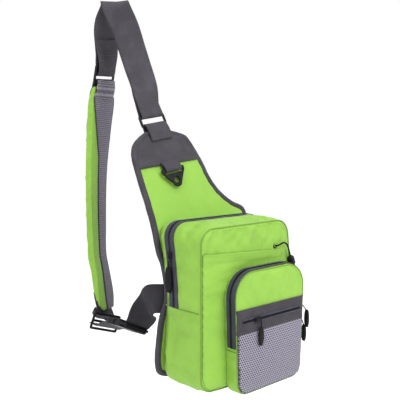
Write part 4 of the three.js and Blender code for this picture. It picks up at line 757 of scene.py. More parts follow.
# Upper pad patch and lower end web
# Webbing that holds the pad. The upper one is folded round the upper slider's bar and sewn to the pad. The
# lower one leaves the pad's foot, passes through the buckle's plug and ends in a second slider.
PAD_TOP_PATCH = [
    (-0.6, 62.0, -173.2, 0.92, 0.38, 0.04), (0.1, 59.2, -160.9, 0.93, 0.37, 0.03),
    (1.3, 55.7, -154.0, 0.93, 0.36, 0.03), (2.6, 50.0, -139.4, 0.94, 0.32, 0.08),
    (2.9, 48.5, -137.0, 0.94, 0.32, 0.08), (4.6, 43.5, -136.8, 0.94, 0.32, 0.08),
    (5.3, 41.8, -139.0, 0.94, 0.32, 0.08), (5.6, 41.8, -141.8, 0.94, 0.32, 0.08),
    (5.7, 44.6, -157.4, 0.93, 0.36, 0.03),
]
PAD_END_WEB = [
    (-10.3, 52.6, -551.4, 0.83, 0.56, -0.03), (-6.4, 45.0, -579.1, 0.87, 0.50, -0.03),
    (-5.8, 43.9, -582.2, 0.87, 0.49, -0.03), (-4.7, 42.7, -586.7, 0.84, 0.53, 0.12),
    (-3.5, 41.4, -591.5, 0.88, 0.48, -0.03), (-3.6, 39.1, -595.2, 0.86, 0.11, -0.49),
    (-7.7, 34.0, -597.7, 0.69, -0.53, -0.49), (-13.9, 27.3, -598.4, 0.70, -0.60, -0.39),
    (-18.4, 21.1, -598.8, 0.87, -0.32, -0.38), (-19.2, 15.0, -599.1, 0.94, 0.02, -0.34),
    (-19.6, 9.9, -599.4, 0.93, -0.13, -0.34), (-20.0, 5.2, -599.6, 0.94, 0.04, -0.34),
    (-19.0, -0.5, -599.2, 0.89, 0.18, -0.42), (-16.2, -12.9, -598.0, 0.88, 0.02, -0.48),
    (-16.4, -17.6, -597.4, 0.88, -0.15, -0.46), (-17.1, -22.6, -597.6, 0.88, -0.10, -0.46),
    (-19.6, -24.6, -601.8, 0.88, -0.10, -0.46), (-20.6, -23.2, -604.0, 0.88, -0.10, -0.46),
    (-20.5, -16.8, -605.4, 0.88, -0.12, -0.46), (-20.4, -12.7, -606.1, 0.88, -0.04, -0.48),
    (-22.7, -3.6, -609.9, 0.88, 0.05, -0.47), (-24.9, 5.4, -613.4, 0.94, 0.00, -0.35),
    (-24.7, 9.4, -613.5, 0.93, -0.10, -0.34), (-24.1, 13.4, -613.0, 0.94, -0.08, -0.34),
    (-22.9, 29.4, -613.2, 0.94, -0.08, -0.34),
]
top_frames = webbing_strap("pad_top_patch", PAD_TOP_PATCH, webbing)
end_frames = webbing_strap("pad_end_web", PAD_END_WEB, webbing)
for k, at in enumerate((1, 4, len(top_frames) - 4, len(top_frames) - 2)):
    side = -1 if at < 10 else 1
    sewn_across(f"pad_patch_stitches_{k}", top_frames, at, side * STRAP_THICK / 2)
for k, at in enumerate((1, 3)):
    sewn_across(f"pad_end_stitches_{k}", end_frames, at, -STRAP_THICK / 2)

# Side strap
# The lower strap, of the same webbing, darkened to near black as painted shade. It is sewn to the rear of the
# panel at its left edge, comes round the edge and twists down to the buckle's socket.
SIDE_STRAP = [
    (17.9, -155.8, -527.0, 0.00, 0.00, 1.00), (-1.7, -155.9, -527.0, 0.01, 0.00, 1.00),
    (-14.6, -155.0, -527.0, -0.03, 0.02, 1.00), (-22.6, -145.0, -527.8, -0.03, 0.17, 0.98),
    (-23.5, -134.0, -530.6, -0.04, 0.34, 0.94), (-21.0, -122.6, -537.1, 0.02, 0.66, 0.75),
    (-16.8, -109.4, -550.1, 0.02, 0.87, 0.48), (-16.5, -105.2, -557.9, -0.32, 0.90, 0.30),
    (-17.5, -99.4, -573.1, -0.80, 0.56, 0.20), (-19.4, -94.4, -582.2, -0.89, 0.31, 0.33),
    (-19.7, -91.7, -585.4, -0.91, 0.27, 0.33), (-20.1, -89.0, -588.7, -0.88, 0.10, 0.46),
    (-20.3, -86.4, -589.8, -0.88, 0.10, 0.46), (-23.8, -87.0, -596.3, -0.88, 0.10, 0.46),
    (-24.3, -89.7, -596.7, -0.88, 0.10, 0.46),
]
# Painted shade: the side strap's webbing is the grey darkened to 0.45 of its colour.
painted_shade_webbing = woven_tape("painted_shade_polyester_webbing", darker(WEBBING_GREY, 0.45), 2.0)
side_frames = webbing_strap("side_strap", SIDE_STRAP, painted_shade_webbing)
for k, at in enumerate((1, 3, 9)):
    side = 1 if side_frames[at][2].y > 0 else -1
    sewn_across(f"side_strap_stitches_{k}", side_frames, at, side * STRAP_THICK / 2)

# Shoulder pad
# Lime taffeta over soft foam, with the dark cloth of the yoke round its foot. The cloth is sewn along both
# sides and at both ends. Rows: place, the way its width runs, width and thickness.
PAD_ROWS = [
    (3.9, 48.4, -149.4, 0.94, 0.35, 0.03, 58.5, 6.4), (2.7, 54.2, -174.6, 0.92, 0.38, 0.04, 67.0, 14.8),
    (0.5, 59.2, -216.3, 0.90, 0.44, -0.02, 68.0, 16.0), (-1.3, 61.6, -246.2, 0.88, 0.47, -0.01, 68.0, 16.0),
    (-4.0, 65.1, -299.0, 0.85, 0.53, -0.01, 68.0, 16.0), (-5.7, 66.5, -360.6, 0.82, 0.57, -0.03, 68.0, 16.0),
    (-7.5, 64.3, -426.6, 0.80, 0.60, -0.06, 68.0, 16.0), (-8.7, 62.0, -456.8, 0.78, 0.62, -0.09, 68.0, 16.0),
    (-9.3, 59.0, -483.8, 0.77, 0.63, -0.08, 68.0, 16.0), (-7.5, 53.7, -510.2, 0.77, 0.63, -0.08, 68.0, 16.0),
    (-6.6, 49.7, -530.2, 0.81, 0.59, -0.09, 65.6, 15.2), (-4.0, 41.4, -571.8, 0.86, 0.51, -0.04, 55.8, 11.2),
    (-2.2, 37.0, -589.4, 0.88, 0.48, -0.03, 42.2, 6.4),
]
PAD_CAP = 3.5


def settled(piece, held, pressure, shrink, cap, stiff, steps=16):
    """Lets the cloth swell and wrinkle between its seams. held has a weight for each point, 1 where it is
    sewn fast. No point moves further than cap millimetres."""
    group = piece.vertex_groups.new(name="sewn_fast")
    for index, weight in enumerate(held):
        group.add([index], weight, "REPLACE")
    cloth = piece.modifiers.new("swelling", "CLOTH")
    rules = cloth.settings
    rules.quality = 5
    rules.mass = 0.15
    rules.tension_stiffness = 12
    rules.compression_stiffness = 12
    rules.shear_stiffness = 4
    rules.bending_stiffness = stiff
    rules.air_damping = 4
    rules.use_pressure = True
    rules.uniform_pressure_force = pressure
    rules.shrink_min = shrink
    rules.vertex_group_mass = "sewn_fast"
    rules.effector_weights.gravity = 0
    cloth.collision_settings.use_collision = False
    scene = bpy.context.scene
    scene.frame_start = 1
    scene.frame_end = steps
    cloth.point_cache.frame_start = 1
    cloth.point_cache.frame_end = steps
    for step in range(1, steps + 1):
        scene.frame_set(step)
    swollen = piece.evaluated_get(bpy.context.evaluated_depsgraph_get()).to_mesh()
    moved = []
    for rest, place in zip(piece.data.vertices, swollen.vertices):
        step = place.co - rest.co
        if step.length > cap * MILLIMETRE:
            step *= cap * MILLIMETRE / step.length
        moved.append(rest.co + step)
    piece.modifiers.remove(cloth)
    piece.vertex_groups.remove(group)
    for rest, place in zip(piece.data.vertices, moved):
        rest.co = place
    piece.data.update()
    scene.frame_set(1)


def smoothed(piece):
    smooth = piece.modifiers.new("smooth", "SUBSURF")
    smooth.levels = smooth.render_levels = 1


pad_rows = blended(PAD_ROWS, 6.0)
pad_frames = ribbon_frames(pad_rows, 1e6)
PAD_AROUND = 48
PAD_END_DARK = 42
PAD_DARK_WRAP = 0.7  # the share of the pad's thickness over which the dark end reaches its full length
pad_sections = [pillow(row[6] * 0.985, row[7] * 0.97, 0.36, PAD_AROUND) for row in pad_rows]
pad_shape = swept(pad_frames, pad_sections)
pad = made("shoulder_pad_cloth", *pad_shape[:2], green_cloth, "green_cloth", pad_shape[2], ["shoulder_pad"])
pad.data.materials.append(yoke_cloth)
to_end = [0.0]
for here, there in zip(reversed(pad_frames[1:]), reversed(pad_frames[:-1])):
    to_end.append(to_end[-1] + (there[0] - here[0]).length)
to_end.reverse()
for k, face in enumerate(pad.data.polygons):
    ring, i = divmod(k, PAD_AROUND)
    if ring < len(pad_rows) - 1:
        deep = min((0.5 - pad_sections[ring][i][1] / pad_rows[ring][7]) / PAD_DARK_WRAP, 1.0)
        face.material_index = int(to_end[ring] < PAD_END_DARK * deep)
    else:
        face.material_index = 1
pad_mesh_finish = spacer_mesh("pad_spacer_mesh", darker(MESH_GREY, 1.1))
held = []
for k, row in enumerate(pad_rows):
    wide, thick = row[6:]
    ends = k < 2 or k > len(pad_rows) - 3
    for a, b in pad_sections[k]:
        corner = abs(abs(a) - wide / 2) < 4 and abs(abs(b) - thick / 2) < 3
        held.append(1.0 if corner or ends or b > thick * 0.42 else 0.0)
settled(pad, held, 3.0, -0.05, PAD_CAP, 0.05)
smoothed(pad)

# Pad mesh and pad piping
# The mesh layer lies on the pad's inner face and is folded up over the webbing at the pad's top. Lower down
# the taffeta wraps further round the near edge. A thin dark piping runs along each seam between the two.
MESH_TOP_ROWS = [  # place above the pad, the way the width runs, width
    (7.2, 39.0, -138.5, 0.94, 0.34, 0.05, 50), (7.0, 40.6, -144.0, 0.94, 0.34, 0.04, 53),
    (7.4, 42.0, -151.0, 0.93, 0.35, 0.04, 57),
]
mesh_line = [(Vector(row[:3]), Vector(row[3:6]).normalized(), row[6] / 2, 1.6) for row in MESH_TOP_ROWS]
for k in range(3, len(pad_rows)):
    place, across, face = pad_frames[k]
    mesh_run = (place - pad_frames[3][0]).length
    half = pad_rows[k][6] / 2 - 1.4
    wrapped = half * 0.85 * min(mesh_run / 120, 1.0) ** 1.2
    middle = place + face * (pad_rows[k][7] / 2 + 0.2) + across * wrapped / 2
    mesh_line.append((middle, across, half - wrapped / 2, 2.2))
MESH_COLUMNS = 21
MESH_STITCH_STEPS = 29
mesh_middle = [row[0] for row in mesh_line]
mesh_faces_out = [heading(mesh_middle, k).cross(row[1]).normalized() for k, row in enumerate(mesh_line)]


def pad_mesh_places(k, i):
    """The mesh's outer and inner face in a row and a column. Its rim is pressed flat by the seam."""
    place, across, half, full = mesh_line[k]
    a = half * (i / 10 - 1)
    lip = 1 - math.exp(-(half - abs(a)) / 4)
    hem = 0.7 if k < 3 else 0.0
    rise = full * (0.35 + 0.65 * lip) + hem + 0.8 * noise.noise((k * 0.45, a / 16, 3)) * lip
    return tuple(place + across * a + mesh_faces_out[k] * rise), tuple(place + across * a)


mesh_points, mesh_faces = quilted(*sheets(len(mesh_line), MESH_COLUMNS, pad_mesh_places))[:2]
mesh_corners = []
for mesh_face in mesh_faces:
    for v in mesh_face:
        line, column = divmod(v % (len(mesh_line) * MESH_COLUMNS), MESH_COLUMNS)
        mesh_corners.append((column * 3.2 + 50, line * 6.0 + 50))
made("pad_mesh_knit", mesh_points, mesh_faces, pad_mesh_finish, "air_mesh", mesh_corners, ["pad_mesh"])
for side in (-1, 1):
    rim = []
    for (middle, across, half, _), (_, _, face) in zip(mesh_line[3:], pad_frames[3:]):
        rim.append((middle + across * side * (half + 0.6) + face * 0.3, across, face))
    rim_shape = swept(rim, [circle(1.25, 8)] * len(rim))
    made(f"pad_piping_{'near' if side < 0 else 'far'}", *rim_shape[:2], binding_tape, "dark_webbing",
         rim_shape[2])
for k, at in enumerate((1, 3, 4)):
    place, across, half, full = mesh_line[at]
    face = mesh_faces_out[at]
    places = [place + face * (full + 0.5) + across * half * (-0.94 + 1.88 * i / MESH_STITCH_STEPS)
              for i in range(MESH_STITCH_STEPS + 1)]
    sewn(f"pad_mesh_stitches_{k}", places, face, dark_thread)

# Main compartment
# A soft pouch of lime nylon without foam. Its front and its gusset are sewn together with a turned seam, and
# its open back is sewn to the panel, so it sags at the foot and bulges at the right.
BODY_MIDDLE = 90
BODY_WIDTH = 216
BODY_TOP = -397
BODY_FOOT = -665
BODY_BULGE = 13
BODY_SAG = 8
# Inset of the outline, share of the way to the back, millimetres from there, and steps from the row before
BODY_ROWS = [
    (5, 0, 0, 0), (1.5, 0, 1.5, 1), (0, 0, 5, 1), (-3, 0.59, 0, 9), (-3, 0.83, 0, 4), (3, 1, 0, 3),
]


class Outline:
    """A rounded rectangle in front view that a compartment is cut to, with a place for each step round it.
    shaped moves a place, and front and back give the depth of the compartment's two faces there."""

    def __init__(self, middle, wide, top, foot, corner, foot_corner, columns, rows, shaped, front, back):
        self.middle = middle
        self.wide = wide
        self.tall = top - foot
        self.shaped = shaped
        self.front = front
        self.back = back
        self.columns = columns
        bends = 7
        self.sides = []
        for k in range(bends + 1):
            a = math.pi / 2 * k / bends
            self.sides.append((wide / 2 - foot_corner * (1 - math.sin(a)),
                               -self.tall / 2 + foot_corner * (1 - math.cos(a)), a - math.pi / 2))
        low, high = -self.tall / 2 + foot_corner, self.tall / 2 - corner
        for k in range(1, rows):
            self.sides.append((wide / 2, low + (high - low) * k / rows, 0.0))
        for k in range(bends + 1):
            a = math.pi / 2 * k / bends
            self.sides.append((wide / 2 - corner * (1 - math.cos(a)), high + corner * math.sin(a), a))

    def place(self, x, z):
        return self.shaped(x / self.wide + 0.5, z / self.tall + 0.5, x, z)

    def grid(self, inset):
        """Rows of places from the foot up, for the front face."""
        found = []
        for x, z, a in self.sides:
            half = x - inset * math.cos(a)
            level = z - inset * math.sin(a)
            found.append([self.place(half * (2 * i / self.columns - 1), level)
                          for i in range(self.columns + 1)])
        return found

    def loop(self, inset):
        """The edge of that grid, from the foot's left end up, over the top and back along the foot."""
        rows = self.grid(inset)
        found = [row[0] for row in rows] + rows[-1][1:-1]
        return found + [row[-1] for row in reversed(rows)] + rows[0][-2:0:-1]


def pouch(outline, rows, wave):
    """Points, faces, cloth places, rings of points, and the ring that each row ends at. wave gives the relief
    of the front face at a place."""
    front, back = outline.front, outline.back
    grid = outline.grid(rows[0][0])
    size = len(grid[0])
    points = [(x, front(x, z) - wave(x, z), z) for row in grid for x, z in row]
    count = len(grid)
    edge = [k * size for k in range(count)] + [(count - 1) * size + i for i in range(1, size - 1)]
    edge += [k * size + size - 1 for k in reversed(range(count))] + list(range(size - 2, 0, -1))
    faces, corners = [], []
    for k in range(count - 1):
        for i in range(size - 1):
            face = (k * size + i, k * size + i + 1, (k + 1) * size + i + 1, (k + 1) * size + i)
            faces.append(face)
            corners += [(points[v][0] + 500, points[v][2] + 900) for v in face]
    for v in edge:
        x, _, z = points[v]
        points[v] = (x, front(x, z), z)
    rings = [edge]
    loops = [[(x, front(x, z), z) for x, z in outline.loop(rows[0][0])]]
    levels = [0]
    for (inset0, share0, add0, _), (inset1, share1, add1, steps) in zip(rows, rows[1:]):
        for s in range(1, steps + 1):
            t = s / steps
            inset = inset0 + (inset1 - inset0) * t
            ring = []
            for x, z in outline.loop(inset):
                near, far = front(x, z), back(x, z)
                here = near + share0 * (far - near) + add0
                there = near + share1 * (far - near) + add1
                ring.append((x, here + (there - here) * t, z))
            start = len(points)
            points += ring
            rings.append(list(range(start, start + len(ring))))
            loops.append(ring)
        levels.append(len(rings) - 1)
    run = [0.0]
    middle = loops[len(loops) // 2]
    for p, q in zip(middle, middle[1:] + middle[:1]):
        run.append(run[-1] + math.dist(p, q))
    for k in range(len(rings) - 1):
        deep0 = -middle[0][1] + loops[k][0][1] + 400
        deep1 = -middle[0][1] + loops[k + 1][0][1] + 400
        for i in range(len(edge)):
            j = (i + 1) % len(edge)
            faces.append((rings[k][i], rings[k + 1][i], rings[k + 1][j], rings[k][j]))
            corners += [(run[i] + 50, deep0), (run[i] + 50, deep1),
                        (run[i + 1] + 50, deep1), (run[i + 1] + 50, deep0)]
    return points, faces, corners, rings, levels


def seam_places(outline, level):
    """Where the edge of a compartment passes a height, on its left and on its right."""
    loop = outline.loop(0)
    found = []
    for side in (-1, 1):
        near_side = [k for k, (x, z) in enumerate(loop) if (x - outline.middle) * side > 0]
        found.append(min(near_side, key=lambda k: abs(loop[k][1] - level)))
    return found


def held_fast(outline, shape, ends, zip_foot, covered):
    """Weights for the cloth of a pouch: 1 at its seams, round its zip and where another piece covers it."""
    points, _, _, rings, levels = shape
    fast = {v for ring in [*rings[:3], rings[-1]] for v in ring}
    fast |= {v for ring in rings[levels[3]:levels[4] + 1] for v in ring if points[v][2] > zip_foot}
    fast |= {v for v in range(len(outline.sides) * (outline.columns + 1)) if covered(points[v])}
    fast |= {ring[at] for ring in rings[3:] for at in ends}
    return [1.0 if v in fast else 0.0 for v in range(len(points))]


def creased(piece, held, relief):
    """Presses creases into settled cloth. relief gives their height in millimetres at a place."""
    mesh = piece.data
    moves = []
    for vertex, weight in zip(mesh.vertices, held):
        x, y, z = (c / MILLIMETRE for c in vertex.co)
        moves.append(vertex.co + vertex.normal * relief(x, y, z, vertex.normal) * (1 - weight) * MILLIMETRE)
    for vertex, place in zip(mesh.vertices, moves):
        vertex.co = place
    mesh.update()


def body_creases(x, y, z, out):
    """Soft creases: across the gusset from seam to seam, and slanting down from the top corners in front."""
    if abs(out.y) > 0.7:
        slant = x * 0.6 + z * 0.8
        return 1.7 * noise.noise((slant / 16, x / 60, 3.1)) + 0.6 * noise.noise((x / 9, 1.7, z / 9))
    round_edge = z if abs(out.x) > 0.6 else x
    fold = noise.noise((round_edge / 15, y / 90, 7.7))
    fine = noise.noise((round_edge / 7, y / 26, 2.4))
    near_front = math.exp(-max(y - FRONT_FACE - 4, 0) / 18)
    return 2.1 * (abs(fold) ** 0.7 * math.copysign(1, fold)) + 1.8 * fine * (0.3 + near_front)


def body_shape(across, height, x, z):
    arch = math.sin(math.pi * min(max(height, 0), 1))
    bulge = BODY_BULGE * arch * max(across, 0)
    sag = BODY_SAG * math.sin(math.pi * min(max(across, 0), 1)) * max(0.5 - height, 0) * 2
    return BODY_MIDDLE + x + bulge * across, (BODY_TOP + BODY_FOOT) / 2 + z - sag


def body_front(x, z):
    return FRONT_FACE


def body_back(x, z):
    return panel_depth(z) - 4.7


def body_wave(x, z):
    """Low folds of the front, away from its seams."""
    return 1.9 * noise.noise((x / 30, 5.2, z / 34)) + 0.8 * noise.noise((x / 14, 8.2, z / 11))


def doubled(piece):
    """Gives cloth its thickness, and rounds its facets."""
    thicker = piece.modifiers.new("two_layers", "SOLIDIFY")
    thicker.thickness = 1.2 * MILLIMETRE
    thicker.offset = -1
    smoothed(piece)


body = Outline(BODY_MIDDLE, BODY_WIDTH, BODY_TOP, BODY_FOOT, 27, 21.6, 36, 34,
               body_shape, body_front, body_back)
body_cloth = pouch(body, BODY_ROWS, body_wave)
GUSSET_SEAM = -535
body_ends = seam_places(body, GUSSET_SEAM)
main_shell = made("main_shell_cloth", *body_cloth[:2], green_cloth, "green_cloth", body_cloth[2],
                  ["main_shell"])
# The slip pocket covers the front face left of x 183 and below z -446. The zip's ends are at z -540.
held = held_fast(body, body_cloth, body_ends, -540, lambda p: p[0] < 183 and p[2] < -446)
settled(main_shell, held, 0.7, -0.045, 6.0, 0.02, steps=22)
creased(main_shell, held, body_creases)
doubled(main_shell)


def ring_path(outline, share, inset):
    """Places and outward directions round a compartment at one share of its depth."""
    loop = outline.loop(inset)
    front, back = outline.front, outline.back
    places = [Vector((x, front(x, z) + share * (back(x, z) - front(x, z)), z)) for x, z in loop]
    out = []
    for k in range(len(loop)):
        (x0, z0), (x1, z1) = loop[k - 1], loop[(k + 1) % len(loop)]
        out.append(Vector((z0 - z1, 0, x1 - x0)).normalized())
    return places, out


def zip_run(name, places, outs, wide, sideways, replaces, tooth=1.5):
    """A coil zip along a line: its tape, its teeth and the stitches that hold it."""
    frames = [(place, squared(sideways, heading(places, k)), outs[k]) for k, place in enumerate(places)]
    section = [(-wide / 2, -0.5), (-wide / 2, 0.3), (-2.2, 0.5), (-1.9, 0.15), (1.9, 0.15), (2.2, 0.5),
               (wide / 2, 0.3), (wide / 2, -0.5)]
    shape = swept(frames, [section] * len(frames))
    made(name + "_tape", *shape[:2], zip_tape, "zip_tape", shape[2], replaces, flat=True)
    points, faces = [], []
    run, due, turn = 0.0, 0.5, 0
    for k in range(len(frames) - 1):
        here, there = frames[k], frames[k + 1]
        size = (there[0] - here[0]).length
        while size > 1e-6 and due <= run + size:
            share = (due - run) / size
            middle, across, out = (a.lerp(b, share) for a, b in zip(here, there))
            along = (there[0] - here[0]) / size
            start = len(points)
            shift = 0.5 if turn % 2 else -0.5
            for end in (-1, 1):
                for a, b in ((-0.42, 0.2), (-0.42, 0.8), (0, 1.15), (0.42, 0.8), (0.42, 0.2)):
                    points.append(tuple(middle + across * (end * 1.9 + shift) + along * a + out * b))
            faces += [tuple(start + v for v in (i, (i + 1) % 5, 5 + (i + 1) % 5, 5 + i)) for i in range(5)]
            faces += [tuple(start + v for v in (4, 3, 2, 1, 0)), tuple(start + v for v in (5, 6, 7, 8, 9))]
            due += tooth
            turn += 1
        run += size
    made(name + "_teeth", points, faces, zip_coil, "zip_tape", flat=True)
    for side, word in ((-1, "near"), (1, "far")):
        sewn(f"{name}_stitches_{word}", [p + a * side * (wide / 2 - 2.2) + o * 0.35 for p, a, o in frames],
             [o for _, _, o in frames], dark_thread, slot="zip_tape", length=2.2, pitch=3.2, thick=0.55)


def arched_zip(name, outline, share, inset, foot, wide, node):
    """A zip that runs over the top of a compartment and down both its sides to a height."""
    places, outs = ring_path(outline, share, inset)
    kept = [k for k in range(len(outline.sides) * 2 + outline.columns - 1) if places[k].z > foot]
    zip_run(name, [places[k] for k in kept], [outs[k] for k in kept], wide, TO_BACK, [node])


TAPE_COLOUR = (0.044, 0.044, 0.063)
zip_tape = woven_tape("zip_tape_twill", TAPE_COLOUR, 0.9, rough=0.65)
coil = Finish("zip_coil_nylon", (0.008, 0.008, 0.010), 0.4, level=0.15)
coil.coloured(coil.mixed(coil.blotches(3.0), (0.005, 0.005, 0.006), (0.012, 0.012, 0.015)))
zip_coil = coil.material
MAIN_ZIP_FOOT = -531
arched_zip("main_zip", body, 0.71, -3.9, MAIN_ZIP_FOOT - 3, 23, "main_zip_tape")

# Seams of the main compartment
# The turned seams stand up as a thin cord of cloth, with a line of stitches beside the front one. Their cloth
# is coloured darker than the rest as painted shade.
# Painted shade: the seams' cloth is the taffeta darkened to 0.62 of the green, for the shade along them.
SEAM_PAINTED_SHADE = 0.62
SEAM_WOBBLE = 0.35
painted_shade_seam_cloth = taffeta("turned_seam_painted_shade_taffeta", darker(GREEN, SEAM_PAINTED_SHADE))


def seam(name, places, outs, radius):
    """A turned seam: a thin uneven ridge of cloth along a line."""
    frames = []
    for k, place in enumerate(places):
        along = heading(places, k)
        out = squared(outs[k], along)
        frames.append((place + out * SEAM_WOBBLE * noise.noise((k * 0.45, 1.7, 9)), along.cross(out), out))
    shape = swept(frames, [circle(radius, 8)] * len(frames))
    made(name, *shape[:2], painted_shade_seam_cloth, "green_cloth", shape[2])


def round_seams(name, outline, faces, behind):
    """Seams round a compartment. Rows: word, share of the depth and inset. behind sets back the front one."""
    for word, share, inset in faces:
        places, outs = ring_path(outline, share, inset)
        if word == "front":
            places = [place + TO_BACK * behind for place in places]
        seam(f"{name}_{word}", places + places[:1], outs + outs[:1], 1.1)


round_seams("body_seam", body, (("front", 0.0, 1.2), ("rear", 0.97, 2.0)), 1.0)
places = ring_path(body, 0.0, 7.0)[0]
sewn("body_front_stitches", [p + TO_FRONT * 0.5 for p in places + places[:1]], TO_FRONT, lime_thread,
     slot="green_cloth", thick=0.6)

# Gusset panel
# Below the foot of the zip the gusset is one panel of cloth. The seam that joins it runs from the panel to
# the front seam, on both sides.
GUSSET_STEPS = 24


def gusset_seams(name, outline, ends, bulge):
    """The seams across a gusset, one on each side, from its front seam to its back."""
    for word, at in zip(("left", "right"), ends):
        line, facing = [], []
        for i in range(GUSSET_STEPS + 1):
            share = 0.06 + 0.92 * i / GUSSET_STEPS
            inset = -bulge * min(share / 0.59, 1.0) * min((1.0 - share) / 0.17, 1) - 0.3
            loop, faces_out = ring_path(outline, share, inset)
            line.append(loop[at])
            facing.append(faces_out[at])
        seam(f"{name}_{word}", line, facing, 1.0)


gusset_seams("gusset_seam", body, body_ends, 3.0)

# Slip pocket
# A single layer of lime nylon, sewn flat to the front of the main compartment along its sides and foot. Its
# mouth has a folded hem that slopes down to the right, and its cloth puckers along the left seam.
SLIP_THICK = 1.2
SLIP_LEFT = -14.5
SLIP_RIGHT = 180
SLIP_FOOT = -659.5
SLIP_MOUTH_LEFT = -438
SLIP_MOUTH_RIGHT = -451
SLIP_CORNER = 19
SLIP_ROWS = 81
SLIP_COLUMNS = 41


def slip_foot(x):
    """The foot of the slip pocket, caught in the curved seam at the foot of the compartment."""
    sag = BODY_SAG * math.sin(math.pi * min(max((x + 18) / BODY_WIDTH, 0), 1))
    left = max(SLIP_CORNER - (x - SLIP_LEFT), 0)
    return SLIP_FOOT - sag + SLIP_CORNER - math.sqrt(SLIP_CORNER ** 2 - left ** 2)


def slip_places(k, i):
    """The slip pocket's front and rear in a row and a column. Away from its seams it hangs free and gapes."""
    share = k / (SLIP_ROWS - 1)
    x = SLIP_LEFT + (SLIP_RIGHT - SLIP_LEFT) * i / (SLIP_COLUMNS - 1)
    top = SLIP_MOUTH_LEFT + (SLIP_MOUTH_RIGHT - SLIP_MOUTH_LEFT) * i / (SLIP_COLUMNS - 1)
    foot = slip_foot(x)
    z = top + (foot - top) * share ** 1.15
    sewn_gap = min(x - SLIP_LEFT, SLIP_RIGHT - x, z - foot)
    free = 1 - math.exp(-max(sewn_gap, 0) / 14)
    gape = 1.6 * math.exp(-share * 9) * free
    wave = 1.5 * abs(noise.noise((x / 30, 2.2, z / 42))) * free
    hem = 0.55 if top - z < 14 else 0.0
    ripple = 0.35 * noise.noise((x / 6, 6.1, z / 12)) * free
    pucker = math.sin(z / 2.6 + 4 * noise.noise((x / 15, 0, z / 19))) * math.exp(-(x - SLIP_LEFT) / 15)
    crease = 2.0 * noise.noise((x / 80, 4.4, z / 13)) * free
    thick = SLIP_THICK * (0.2 + 0.8 * min(free * 3, 1.0)) if top - z > 8 else SLIP_THICK
    front = FRONT_FACE - 0.6 - thick - gape - wave - hem - ripple - pucker - crease
    return (x, front, z), (x, FRONT_FACE - 0.45 - gape * 0.8, z)


slip_front, slip_back = sheets(SLIP_ROWS, SLIP_COLUMNS, slip_places)
slip_shape = quilted(slip_front, slip_back)
slip_pocket = made("slip_pocket_cloth", *slip_shape[:2], green_cloth, "green_cloth", slip_shape[2],
                   ["slip_pocket"])
for drop, word in ((2.5, "upper"), (12.5, "lower")):
    places = []
    for i in range(LINE_STEPS + 1):
        share = i / LINE_STEPS
        x = SLIP_LEFT + 2 + (SLIP_RIGHT - SLIP_LEFT - 4) * share
        z = SLIP_MOUTH_LEFT + (SLIP_MOUTH_RIGHT - SLIP_MOUTH_LEFT) * share - drop
        column = round(share * (SLIP_COLUMNS - 1))
        row = min(range(SLIP_ROWS), key=lambda k: abs(slip_front[k][column][2] - z))
        places.append(Vector((x, slip_front[row][column][1] - 0.1, z)))
    sewn(f"slip_hem_stitches_{word}", places, TO_FRONT, lime_thread, slot="green_cloth", thick=0.6)

# Front pocket
# A pouch of lime nylon with a flat cut front. It is sewn to the slip pocket round its open back. It is
# deeper at the right, and narrows a little towards its foot.
POCKET_MIDDLE = 117
POCKET_WIDTH = 172
POCKET_HEIGHT = 208
POCKET_TOP = -471
POCKET_BACK = -257.2
POCKET_TAPER = 0.09
POCKET_ROWS = [
    (5, 0, 0, 0), (1.5, 0, 1.5, 1), (0, 0, 5, 1), (0, 0.26, 0, 2), (0, 0.84, 0, 4), (0.6, 1, 0, 2),
]


def pocket_shape(across, height, x, z):
    return POCKET_MIDDLE + x * (1 - POCKET_TAPER * max(1 - height, 0)), POCKET_TOP - POCKET_HEIGHT / 2 + z


def pocket_front(x, z=0.0):
    return POCKET_BACK - 25 - 10 * ((x - POCKET_MIDDLE) / POCKET_WIDTH + 0.5)


def pocket_back(x, z):
    return POCKET_BACK


def pocket_wave(x, z):
    return 0.5 * noise.noise((x / 20, 9.2, z / 20)) - 0.3


pocket = Outline(POCKET_MIDDLE, POCKET_WIDTH, POCKET_TOP, POCKET_TOP - POCKET_HEIGHT, 44, 24, 32, 24,
                 pocket_shape, pocket_front, pocket_back)
pocket_cloth = pouch(pocket, POCKET_ROWS, pocket_wave)
POCKET_SEAM = -602
pocket_ends = seam_places(pocket, POCKET_SEAM)
pocket_shell = made("pocket_shell_cloth", *pocket_cloth[:2], green_cloth, "green_cloth", pocket_cloth[2],
                    ["pocket_shell"])
# The dark band and the mesh cover the front face below z -529. The zip's ends are at z -600.
held = held_fast(pocket, pocket_cloth, pocket_ends, -600, lambda p: p[2] < -529)
settled(pocket_shell, held, 0.9, -0.04, 3.0, 0.02, steps=18)


def pocket_creases(x, y, z, out):
    """Lower creases than those of the main compartment, because the pocket is smaller and fuller."""
    return 0.6 * body_creases(x * 1.3, y, z * 1.3, out)


creased(pocket_shell, held, pocket_creases)
doubled(pocket_shell)
round_seams("pocket_seam", pocket, (("front", 0.0, 1.6), ("rear", 0.98, 0.4)), 1.2)
gusset_seams("pocket_gusset_seam", pocket, pocket_ends, 0.0)
arched_zip("pocket_zip", pocket, 0.42, -1.1, -599, 19, "pocket_zip")

# Pocket hem, mesh pouch and hem zip
# A band of dark grey cloth crosses the front pocket and carries a second zip. Below it the pocket has an
# outer layer of open knitted mesh over a darker lining.
HEM_TOP = -533
HEM_FOOT = -573
HEM_THICK = 1.5
FACE_INSET = 2.4
FACE_STEPS = 40
HEM_STEPS = 12


def face_edge(z, side):
    """Where the front pocket's flat face ends at a height."""
    low = 0.5 - (z - POCKET_TOP + POCKET_HEIGHT / 2) / POCKET_HEIGHT
    return POCKET_MIDDLE + side * (POCKET_WIDTH / 2 - FACE_INSET) * (1 - POCKET_TAPER * low)


